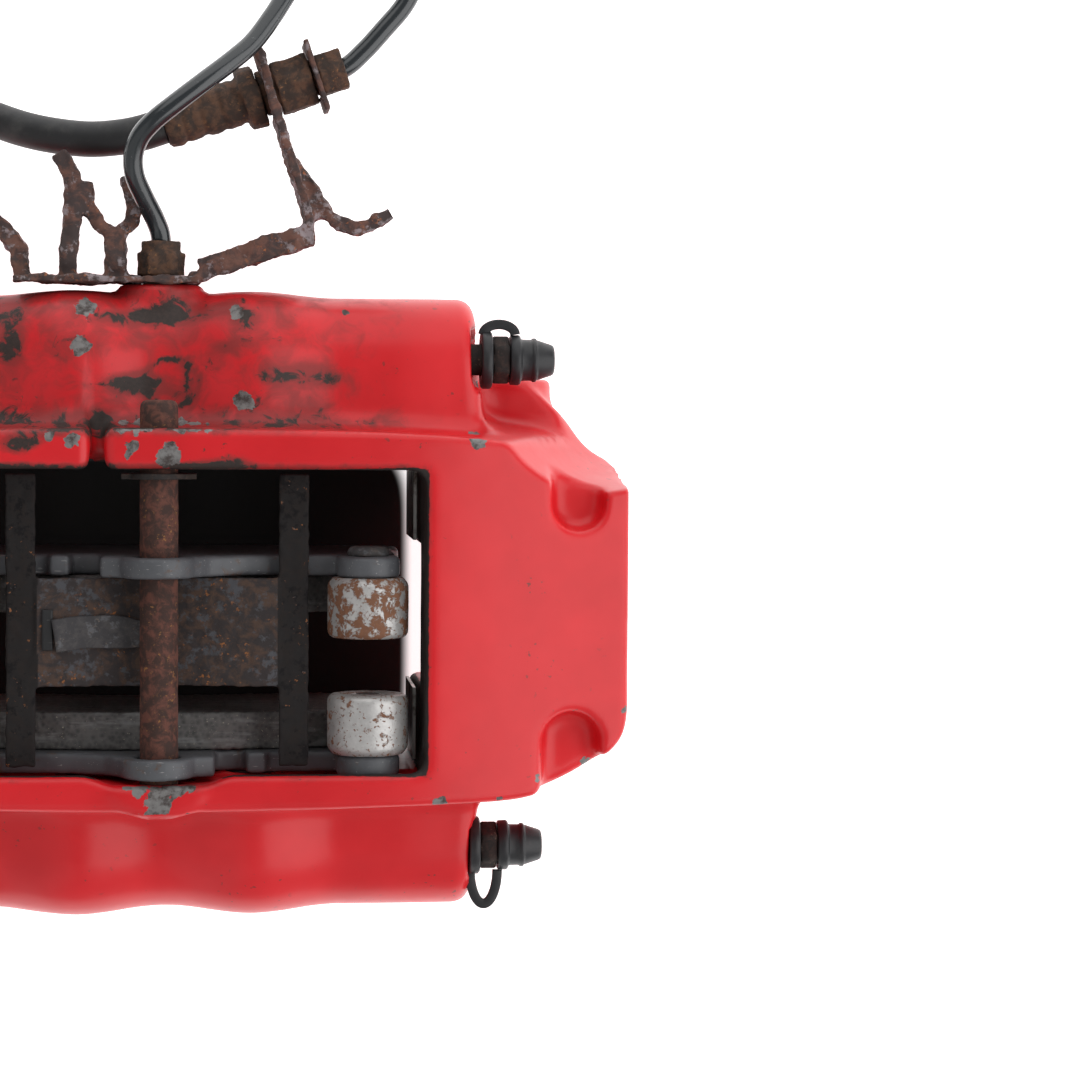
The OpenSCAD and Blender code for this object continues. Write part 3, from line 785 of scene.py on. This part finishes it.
def plan_edges(x, y, corners, k):
    """Distance outside a convex outline: the largest of its edges' distances, corners rounded."""
    total = None
    for (x0, y0), (x1, y1) in zip(corners, corners[1:]):
        length = math.hypot(x1 - x0, y1 - y0)
        d = ((x - x0) * (y1 - y0) - (y - y0) * (x1 - x0)) / length
        total = d if total is None else blend_max(total, d, k)
    return total


OUTBOARD_EDGE = [(120, 0), (120, 28.5), (117.6, 33), (107, 40.6), (98, 44.9), (93, 46.5), (81, 47.1), (0, 48.2)]
INBOARD_EDGE = [(120.2, 0), (120.2, 39.6), (92, 46.2), (81, 47.6), (60, 48.8), (0, 49.2)]
EAR_EDGE = [(118.2, 26), (118.2, 39.6), (97, 60.8), (93.5, 61.9), (70, 61.9)]


def bridge_distance(x, y, z):
    """Top flange, both end bridges and their legs; the inboard wall leans out towards the ears."""
    ax = np.abs(x)
    lean = 4.5 * np.clip((66 - z) / 36, 0, 1) * ease((ax - 80) / 6)
    inboard, outboard = plan_edges(ax, y - lean, INBOARD_EDGE, 2.5), plan_edges(ax, -y, OUTBOARD_EDGE, 2.5)
    plan = np.where(y > 0, inboard, outboard)
    top = blend_max(z - TOP_Z, z - (TOP_Z - 0.200 * (ax - 67)), 6)
    top = blend_max(top, z - (68.6 - 0.30 * (ax - 94)), 5)
    under = blend_max(6 - z, 12 - z + (ax - 108) * 0.25, 6)
    under = blend_max(under, 0.83 * (30 - z + (ax - 120) * 1.5), 6)
    return blend_max(blend_max(plan, top, 2.2), under, 6)


def ear_distance(x, y, z):
    """Mounting ear: a boss along Y with a flat-topped web back to the end bridge."""
    ax = np.abs(x)
    boss = blend_max(blend_max(np.hypot(ax - EAR_X, z - EAR_Z) - 12.4, y - 61.9, 2), 30 - y, 1)
    web = plan_edges(ax, y, EAR_EDGE, 2.5)
    web = blend_max(blend_max(web, z - 31 + 0.1 * (y - 50), 3), 5 - z, 3)
    return blend_min(boss, overlap(web, 29 - y), 3)


def cove_distance(x, y, z):
    """Hollow cone cut into each inboard shoulder: narrower and further out lower down."""
    down = np.clip((66 - z) / 36, -0.3, 1.1)
    return np.hypot(np.abs(x) - 112.3 - 11 * down, y - 59.2 + 1.5 * down) - 26.9 + 7.9 * down


def pocket_distance(x, y, z, cx, cy, r):
    """Pocket with a round inner end, open towards +y, its sides drawn out upwards."""
    out = np.hypot(np.abs(x) - cx, np.minimum(y - cy, 0)) - r - 0.10 * (z - 56)
    return blend_max(out, 56.0 - z, 4)


def window_distance(x, y, z):
    """The pads' window: an oblong with round corners, a little wider round the pin's outboard end."""
    wider = np.where(y < 0, 2.4 * (1 - ease((np.abs(x - PIN_X) - 10.5) / 9)), 0)
    return blend_max(np.abs(x) - WINDOW_HALF[0], np.abs(y) - WINDOW_HALF[1] - wider, 5)


def bay_distance(x, y, z):
    """Square-edged room for the pads under the window, with relief for their plates and rivets."""
    ax, ay = np.abs(x), np.abs(y)
    bay = overlap(ax - 66, ay - 40, z - 54)
    relief = overlap(ax - 65.5, ay - 41.2, z - 69.6, 50.6 - z)
    rivets = overlap(np.abs(np.abs(x - PAD_X) - 53.7) - 6.2, ay - 43, 54.5 - z, z - 67.5)
    return union(bay, relief, rivets)


def drilled_distances(x, y, z):
    """Holes with a broken edge (ears, pipe port, bleed screws), and the sharp passages and screw holes."""
    ax, ay = np.abs(x), np.abs(y)
    ear_holes = overlap(np.hypot(ax - EAR_X, z - EAR_Z) - 5.25, 30 - y)
    at_port = np.hypot(x - PIPE_X, z - PIPE_Z)
    port = overlap(at_port - 5.05, 70 - y)
    in_line = union(np.hypot(y - 67, z - BLEED_Z), np.hypot(y + 61, z - BLEED_Z))
    faces = overlap(in_line - 8.2, 79.7 - x)
    bleeds = union(overlap(in_line - 4.2, 57 - x), overlap(in_line - 4.55, 72 + x))
    passages = union(overlap(in_line - 1.6, np.abs(x + 8) - 67), overlap(at_port - 1.6, 55 - y))
    screws = overlap(np.hypot(ay - 29, z - 30) - 2.1, np.abs(ax - 69.5) - 5.5)
    return union(ear_holes, port, bleeds, faces), union(passages, screws)


def casting_distance(p):
    """Distance to the casting's surface, negative inside, with every edge and corner filleted."""
    x, y, z = p.T
    ax, ay = np.abs(x), np.abs(y)
    bridge = bridge_distance(x, y, z)
    # the flange stands a little proud where the pin goes into its outboard side
    rise = blend_max(np.hypot(x - PIN_X, y + 37.6) - 12.2, overlap(z - 73.9, 50 - z), 2)
    bridge = blend_min(bridge, rise, 3)
    body = blend_min(bridge, ear_distance(x, y, z), 5)
    body = blend_max(body, -cove_distance(x, y, z), 1.6)
    body = blend_min(body, bank_distance(x, y, z, 83.0), 7)
    body = blend_min(body, bank_distance(x, -y, z, 77.5), 6)
    boss = np.hypot(x - PIPE_X, z - PIPE_Z) - 10.6 - 0.10 * (86 - y)
    body = blend_min(body, blend_max(boss, overlap(y - 86, 70 - y), 1.2), 3)
    # hollows: the window, the pads' bay, the disc's gap and the bores with their boots' seats
    body = blend_max(body, -blend_max(window_distance(x, y, z), 44 - z, 1), 2.6)
    body = blend_max(body, -bay_distance(x, y, z), 0.8)
    body = blend_max(body, -blend_max(np.hypot(x, z + 109) - 169, ay - 18, 3), 3.5)
    around = np.hypot(ax - BORE_X, z - BORE_Z)
    bore = blend_max(around - 17, ay - 70, 1)
    seat = overlap(around - 20.2, ay - 42.6)
    body = blend_max(body, -union(bore, seat), 0.6)
    # pockets over the ends, the pin's hole, the slot beside it and the drillings
    body = blend_max(body, -pocket_distance(x, y, z, 106.7, 30, 6.4), 2.0)
    body = blend_max(body, -pocket_distance(x, -y, z, 105, 31.5, 7.0), 3.0)
    pin_hole = np.hypot(x - PIN_X, z - PIN_Z) - 4.95 + np.maximum(-45.5 - y, 0)
    body = blend_max(body, -pin_hole, 0.7)
    slot = blend_max(np.abs(x - SLOT_X) - 1.7, overlap(36.7 - y, 57 - z), 1)
    body = blend_max(body, -slot, 3.2)
    edged, sharp = drilled_distances(x, y, z)
    return blend_max(overlap(body, -sharp), -edged, 0.8)


def settle(points, distance, rounds, limit=2.5):
    """Moves points along the distance's slope until they lie on its zero surface."""
    step = 0.05
    for _ in range(rounds):
        d = distance(points)
        rises = [distance(points + step * e) - distance(points - step * e) for e in np.eye(3)]
        slope = np.stack(rises, 1) / (2 * step)
        move = -(d / np.maximum((slope ** 2).sum(1), 0.25))[:, None] * slope
        length = np.linalg.norm(move, axis=1)[:, None]
        points = points + move * np.minimum(1, limit / np.maximum(length, 1e-9))
    return points


# (x, y, radius) of the larger chips in the paint, seen from above
BARE_SPOTS = [
    (-20, 80, 2.6), (-21, 69.5, 2.8), (18.5, 78.5, 2.0), (20.5, 56, 2.6), (47, 79, 1.0), (80, 46.5, 2.1),
    (2, 42.6, 3.0), (1, 41, 2.2), (-7.5, 44.4, 1.8), (-8.5, 42.3, 1.2), (-22.5, 45.8, 2.0), (-28, 47, 1.3),
    (-10, 49.2, 1.6), (-6.3, 49.5, 1.8), (-3.3, 49.7, 1.6), (4.3, 49.5, 2.0), (8, 49.3, 1.6), (11.5, 49, 1.2),
    (-5.5, -42, 2.2), (-1, -45, 3.8), (2.6, -42.2, 2.8), (7, -41.2, 1.6), (-8.5, -41, 1.4), (70.5, -46, 1.9),
    (86, -45.5, 0.9), (96, -40.8, 1.1), (96.7, -45, 1.3), (109.7, -38, 1.9), (119.2, -23.6, 1.1)]

# (x, y, half-length, half-width, share) of the dark oily smears, nearly all of them inboard
GRIME_SPOTS = [
    (1, 78.4, 5, 2.9, 0.9), (-8, 60, 7, 2.4, 1.3), (6, 60.7, 1, 4.7, 0.8), (21, 78, 4, 2.4, 0.9),
    (32, 62.7, 9, 2.4, 0.8), (-39, 70, 3, 5.8, 0.8), (-35, 45, 6, 2.4, 1.1), (18, 41.2, 6, 1.6, 0.8),
    (10, 39.7, 8, 1.2, 0.8), (-25, 38.5, 16, 0.8, 0.6), (-4, 77, 11, 1.6, 0.7), (43, 61.5, 4, 2.1, 0.5),
    (-40, 38.5, 8, 1.3, 0.6), (16, 70.3, 5, 2.1, 0.4), (4, -41, 10, 1.6, 0.8)]


def bare_share(p, hard, up):
    """How bare the metal is: in the chips of upward faces, and rubbed on sharp edges here and there."""
    x, y, z = p.T
    bare = np.full(len(p), -1.0)
    for cx, cy, r in BARE_SPOTS:
        bare = np.maximum(bare, np.where(z > 38, 1 - 0.53 * np.hypot(x - cx, y - cy) / r, -1))
    bare = bare - 1 + ease((up - 0.05) / 0.4)
    return np.maximum(bare, ease((hard - 0.30) / 0.5) * (0.33 + 0.30 * rough_noise(p, 9, 2, 5)))


def grime_and_shade_share(p):
    """Dirt and painted shade: the oily inboard bank and its smears, shade in the crease and round the window.
    """
    x, y, z = p.T
    oily = ease((y - 45) / 5) * ease((92 - np.abs(x + 8)) / 60) * ease((z - 20) / 20)
    streak = 0.5 + 0.5 * rough_noise(p * [0.45, 1, 1], 12, 3, 9)
    grime_and_shade = oily * (0.30 + 0.62 * streak)
    for cx, cy, rx, ry, share in GRIME_SPOTS:
        away = np.hypot((x - cx) / rx, (y - cy) / ry)
        grime_and_shade = grime_and_shade + share * np.exp(-away ** 2) * (z > 35) * (0.55 + 1.1 * streak)
    ring = np.exp(-((np.hypot(x - 2, (y - 60.5) * 1.15) - 7) / 0.8) ** 2) * (z > 40) * (y > 52)
    # painted shade: the crease where the bank meets the raised flange
    crease = np.exp(-((y - 50.5) / 2.6) ** 2) * ease((85 - np.abs(x)) / 20) * (z > 45)
    slot = np.exp(-((x - SLOT_X) / 2.6) ** 2) * (y > 36) * (z > 50) * ease((56 - y) / 5)
    # the window's edge and walls: dirt with painted shade
    rim = (1 - ease((past_window(x, y) - 1.0) / 1.6)) * (0.35 + 0.35 * (y > 0) * (np.abs(x) < 62))
    return np.clip(grime_and_shade + 0.5 * ring + 0.35 * crease + 0.7 * slot + rim, 0, 1.6)


def past_window(x, y):
    """How far a point lies outside the window's oblong, seen from above."""
    return np.maximum(np.abs(x) - WINDOW_HALF[0], np.abs(y) - WINDOW_HALF[1])


def inner_share(p):
    """1 on the walls inside the window, painted near black: brake dust, and painted shade deep in this recess.
    """
    x, y, z = p.T
    return ease((1.5 - past_window(x, y)) / 1.2) * (z < 73.5) * ease((73.4 - z) / 1.5)


def make_casting():
    """The casting: a fine even mesh of the CAD body, pulled onto the filleted distance formula."""
    piece = cad_copy("caliper_body", "red_casting")
    apply_modifier(piece, "REMESH", mode="VOXEL", voxel_size=0.00135)
    relax(piece, 0.5, 2)
    points = settle(taken(get_points(piece)), casting_distance, 6)
    set_points(piece, put(points))
    relax(piece, 0.35, 2)
    points = settle(taken(get_points(piece)), casting_distance, 3)
    rest = put(points)
    set_points(piece, rest)
    relax(piece, 0.5, 6)
    # how far the surface sinks when it is softened: large on sharp outer edges
    sunk = (rest - get_points(piece)) * 1000
    set_points(piece, rest)
    hard = np.einsum("ij,ij->i", sunk, get_normals(piece))
    points = points + get_normals(piece) * (0.05 * rough_noise(points, 7, 2, 3))[:, None]
    set_points(piece, put(points))
    set_mask(piece, "bare", bare_share(points, hard, get_normals(piece)[:, 2]))
    set_mask(piece, "grime_and_shade", grime_and_shade_share(points))
    set_mask(piece, "inner", inner_share(points))
    finish_piece(piece, paint, "caliper", "red_paint", ["caliper_body"])


make_casting()


# ---------- pad retention ----------

def roughened(points, depth, size, seed):
    """Points pushed about by noise in all three directions, depth millimetres at most."""
    shift = np.stack([rough_noise(points + 50 * k, size, 3, seed + k) for k in range(3)], axis=1)
    return points + depth * shift


def make_pin():
    """Pad pin: a rod with a rounded inboard end and the small retaining ring in its groove."""
    rod = [(0, 3.9), (0.5, 4.7), (1.2, 4.85)]
    rod += [(along, 4.85) for along in np.arange(3, 97, 1.5)]
    rod += [(98.4, 4.8), (99.6, 4.6), (100.3, 4.1), (100.6, 3.2)]
    points, faces = turned(rod, (PIN_X, -44.5, PIN_Z), (0, 1, 0), 56)
    ring = [(math.cos(a) * 0.75, 5.2 + math.sin(a) * 0.8) for a in np.linspace(0, 2 * np.pi, 13)[:-1]]
    loop, loop_faces = ring_solid(ring, (PIN_X, 36.85, PIN_Z), (0, 1, 0), 56)
    points, faces = joined((roughened(points, 0.10, 2.4, 3), faces), (loop, loop_faces))
    new_piece("rusty_pad_pin", put(points), faces, pin_rust, "caliper", "rusty_pin", ["pad_pin"])


def ring_solid(section, at, direction, sides):
    """Closed section, a loop of (distance along, radius) points, swept right round an axis."""
    d, side, up = axes_of(direction)
    angle = np.linspace(0, 2 * np.pi, sides, endpoint=False)[:, None, None]
    section = np.asarray(section, float)
    along, radius = section[None, :, :1], section[None, :, 1:]
    points = np.asarray(at) + along * d + radius * (np.cos(angle) * side + np.sin(angle) * up)
    n = len(section)
    i, j = np.meshgrid(np.arange(sides), np.arange(n), indexing="ij")
    k, m = (i + 1) % sides, (j + 1) % n
    faces = np.stack([i * n + j, i * n + m, k * n + m, k * n + j], axis=-1).reshape(-1, 4)
    return points.reshape(-1, 3), [tuple(f) for f in faces]


def make_spring():
    """Pad spring: the CAD cross softened and pitted, a tongue along its band, and painted shadow in the slot it
    hooks in.
    """
    spring = rusted_node("pad_spring", "pad_spring_cross", spring_rust, "caliper", "spring_steel",
                         0.45, 0.16, 2.2, 21, 3)
    # the spring's legs, away from its middle, are darkened towards near black
    set_mask(spring, "darkened", 0.92 * (np.abs(taken(get_points(spring))[:, 0] - PAD_X) > 30.4))
    x = np.linspace(-27.5, -5.2, 24)
    z = 61.6 - 3.4 * np.cos(np.pi / 2 * (x - PAD_X) / 31) ** 2 + 0.35
    path = np.stack([x, -3.1 - 0.9 * ((x + 16) / 11) ** 2, z + 0.5 * ease((-22 - x) / 5)], axis=1)
    width = 8.4 - 1.6 * ease((x + 12) / 7)
    points, faces = swept(path, [slab_section(w, 1.1, 20) for w in width])
    points = roughened(points, 0.12, 3, 8)
    new_piece("spring_tongue", put(points), faces, tongue_steel, "caliper", "spring_steel")
    # a thin near-black sheet that is painted shadow in the tongue's slot, not a part
    path = np.stack([np.linspace(-30.6, -27.8, 6), np.full(6, -2.6), np.linspace(61.7, 61.55, 6)], axis=1)
    points, faces = swept(path, slab_section(10.5, 0.5, 20))
    new_piece("spring_slot_shadow", put(points), faces, painted_slot_shadow, "caliper", "spring_steel")


# ---------- pads ----------

def make_pad(side, turn, plate_y):
    """One pad: plate, friction material, weights and rivets; turn is 1 inboard and -1 outboard."""
    body = f"{side}_pad"
    rusted_node(f"{side}_backing_plate", f"{side}_plate", plate_paint, body, "pad_plate",
                0.62, 0.07, 3.0, 31, 7)
    rusted_node(f"{side}_friction_pad", f"{side}_friction_block", friction, body, "friction",
                0.62, 0.22, 1.4, 33, 2)
    weight = [(-0.02, 3.05), (-0.02, 8.6), (-0.25, 9.2), (-1.4, 10.1), (-2.2, 10.4)]
    weight += [(-a, 10.4) for a in np.arange(3, 14, 0.8)]
    weight += [(-14.2, 10.3), (-14.9, 9.9), (-15.4, 9.2), (-15.5, 8.4), (-15.5, 3.05)]
    rivet = [(-15.3, 1.5), (-15.48, 2.95), (-8, 3.0), (5.4, 3.0), (5.5, 5.1), (5.8, 5.4), (6.8, 5.2),
             (7.6, 4.6), (7.88, 3.6), (7.9, 1.5)]
    for name, profile, material, slot in (("damper_weights", weight, zinc, "zinc"),
                                          ("weight_rivets", rivet, rivet_steel, "fastener")):
        solids = []
        for x in (-53.7, 53.7):
            at = (PAD_X + turn * x, plate_y, 61)
            maker = ring_solid if name == "damper_weights" else turned
            points, faces = maker(profile, at, (0, turn, 0), 72)
            solids.append((roughened(points, 0.05, 2.0, 5), faces))
        points, faces = joined(*solids)
        piece = new_piece(f"{side}_{name}_turned", put(points), faces, material, body, slot, [f"{side}_{name}"])
        set_mask(piece, "rust", 0.05 * rough_noise(points, 6, 2, 12) + 0.045 * turn - 0.02)


# ---------- bleed screws ----------

def hexagon(across):
    """Radius of a hexagon at each angle, its corners a little rounded."""
    return lambda a: np.minimum(across / 2 / np.cos((a % (np.pi / 3)) - np.pi / 6), across / 2 * 1.12)


def make_bleeder(side, hang):
    """Bleed screw with its rubber cap; hang is the way its strap loops, 1 inboard or -1 outboard."""
    x, y = BLEEDERS[side]
    at = (x, y, BLEED_Z)
    flats, bevelled = hexagon(11.1), hexagon(10.6)
    screw = [(-19.4, 3.2), (-18.6, 4.1), (2, 4.1), (4.4, 4.1), (4.6, 5.4)]
    screw += [(4.65, bevelled), (5.0, flats), (8.4, flats), (8.78, bevelled), (8.8, 5.2)]
    screw += [(8.85, 3.1), (16.6, 3.0), (17, 2.6)]
    points, faces = outward(*turned(screw, at, (1, 0, 0), 72))
    node = f"{side}_bleed_screw"
    new_piece(f"{node}_hex", put(points), faces, bleed_steel, node, "bleed_steel", [node])
    cap = [(9.0, 3.4), (9.0, 6.0), (9.3, 6.5), (11.3, 6.6), (11.8, 6.3), (11.9, 5.7), (12.4, 5.45),
           (14.5, 5.4), (14.9, 5.5), (15.1, 5.75), (15.9, 5.75), (16.1, 5.35), (16.6, 5.2), (20.0, 4.1),
           (20.6, 3.7), (20.8, 3.1)]
    bell = turned(cap, at, (1, 0, 0), 64)
    ring = [(1.5, 4.4), (1.5, 7.1), (1.9, 7.6), (3.9, 7.6), (4.35, 7.1), (4.35, 4.4)]
    collar = ring_solid(ring, at, (1, 0, 0), 64)
    reach, middle, half = (15.6, 5.6, 3.6) if side == "outboard" else (9.3, 6.2, 4.2)
    turn = np.linspace(0, np.pi, 13)
    loop = np.stack([middle - half * np.cos(turn), 6.6 + (reach - 6.6) * np.sin(turn)], axis=1)
    strap_z = BLEED_Z + 1.5 * (side == "inboard")
    track = smooth_path([(x + a, y + hang * r, strap_z) for a, r in loop], 6)
    strap = swept(track, slab_section(2.6, 1.6, 16))
    points, faces = joined(bell, collar, strap)
    new_piece(f"{side}_cap_moulding", put(points), faces, cap_rubber, "caliper", "cap_rubber",
              [f"{side}_bleed_cap"])


# ---------- pipe, bracket and hose ----------

PIPE_ROUTE = [
    (-1, 89, 36), (-1, 98, 36.5), (-2.5, 103, 38), (-5.5, 109, 42), (-7.6, 114, 45), (-7.9, 119, 47),
    (-6.2, 123.7, 48.6), (-2.6, 127.8, 49.8), (2.8, 132.2, 50), (10.2, 138, 49.2), (17.7, 144, 47),
    (23, 149, 44.5), (28, 156, 42), (32, 162.5, 39.5), (36.5, 169, 37), (43, 174, 34.5), (51, 176, 32.5),
    (58.5, 174.8, 31), (63.5, 170.5, 30.4), (64.8, 165.5, 30), (62.5, 160.3, 30), (57.4, 154.2, 30),
    (52.2, 148.4, 30), (46.9, 143.8, 30), (40, 141.5, 30)]
HOSE_ROUTE = [
    (-0.3, 128, 30), (-6, 126.1, 29.9), (-12, 124.9, 29.3), (-20, 124.4, 27.6), (-29, 125.4, 24.6),
    (-37, 127.2, 21), (-45, 130, 17), (-55, 134.2, 12), (-66, 138.6, 8), (-78, 142, 5.6),
    (-90, 143.6, 4.8), (-103, 143.6, 4.7), (-116, 141.8, 4.7), (-128, 137.6, 4.7), (-138.5, 130.6, 4.7),
    (-146, 120.8, 4.7), (-150, 109.5, 4.7), (-151, 98, 4.7), (-151, 87, 4.7)]
CLAMP_AT, CLAMP_TURN = np.array([26.5, 137, 30]), math.radians(18.5)
ALONG_CLAMP = (math.cos(CLAMP_TURN), math.sin(CLAMP_TURN), 0)


def make_pipe():
    """Brake pipe: a round tube on a smooth curve through its route."""
    points, faces = outward(*swept(smooth_path(PIPE_ROUTE, 8), circle_section(2.6, 32)))
    new_piece("coated_brake_pipe", put(points), faces, pipe_coat, "caliper", "pipe_coat", ["brake_pipe"])


def make_hose():
    """Brake hose: plain rubber tube from the crimped ferrule down to its far ferrule and fitting."""
    track = smooth_path(HOSE_ROUTE, 10)
    points, faces = outward(*swept(track, circle_section(4.7, 40)))
    hose = new_piece("rubber_brake_hose", put(points), faces, hose_rubber, "caliper", "hose_rubber",
                     ["brake_hose"])
    ferrule = rusted_node("hose_end_ferrule", "crimped_end_ferrule", fitting_rust, "caliper", "fitting_rust",
                          0.5, 0.1, 2, 41, 2)
    fitting = rusted_node("hose_end_fitting", "threaded_end_fitting", fitting_rust, "caliper", "fitting_rust",
                          0.4, 0.05, 2, 42, 1)
    line = put(track)


def make_ferrule():
    """Crimped sleeve over the hose: shallow crimp rings, a flange at the bracket and heavy rust."""
    sleeve = [(-28.2, 3.4), (-28.2, 5.5), (-27.7, 6.1)]
    sleeve += [(a, 6.2 - 0.45 * math.sin(math.pi * (a + 26) / 5.2) ** 8) for a in np.arange(-26.6, -6.8, 0.4)]
    sleeve += [(-6.6, 6.3), (-6.45, 7.9), (-6.1, 8.2), (-2.2, 8.2), (-1.85, 7.9), (-1.8, 4.9)]
    points, faces = outward(*ring_solid(sleeve, CLAMP_AT, ALONG_CLAMP, 72))
    points = roughened(points, 0.34, 3.2, 51)
    new_piece("crimped_hose_ferrule", put(points), faces, fitting_rust, "caliper", "fitting_rust",
              ["hose_ferrule"])


# node, new name, material, slot, voxel, depth of the pits, their size, seed, rounds of softening
RUSTED_NODES = [
    ("line_bracket", "rusted_line_bracket", bracket_rust, "bracket_rust", 0.5, 0.62, 3.4, 61, 2),
    ("hose_clip", "rusted_hose_clip", bracket_rust, "bracket_rust", 0.3, 0.16, 2.0, 62, 1),
    ("union_nut", "rusted_union_nut", fitting_rust, "fitting_rust", 0.35, 0.14, 1.8, 63, 2),
    ("hose_union_nut", "rusted_hose_nut", fitting_rust, "fitting_rust", 0.35, 0.16, 2.0, 64, 2),
    ("hose_block", "rusted_hose_block", fitting_rust, "fitting_rust", 0.4, 0.26, 2.6, 65, 2),
    ("pin_clip", "dark_pin_clip", dark_steel, "dark_steel", 0.25, 0.06, 1.5, 66, 1)]


# ---------- what the casting holds inside ----------

def give_material(node, material):
    """A CAD node that keeps its own mesh gets its finish here."""
    mesh = nodes[node].data
    mesh.materials.clear()
    mesh.materials.append(material)


make_pin()
make_spring()
make_pad("inboard", 1, 11)
make_pad("outboard", -1, -34.5)
make_bleeder("inboard", 1)
make_bleeder("outboard", -1)
make_pipe()
make_hose()
make_ferrule()
for node, name, material, slot, *looks in RUSTED_NODES:
    rusted_node(node, name, material, "caliper", slot, *looks)
for side in ("inboard", "outboard"):
    give_material(f"{side}_left_piston", anodised)
    give_material(f"{side}_right_piston", anodised)
for name in ("piston_seals", "dust_boots"):
    give_material(name, seal_rubber)
give_material("abutment_plates", stainless)
give_material("abutment_screws", plated)
give_material("passage_plugs", plated)
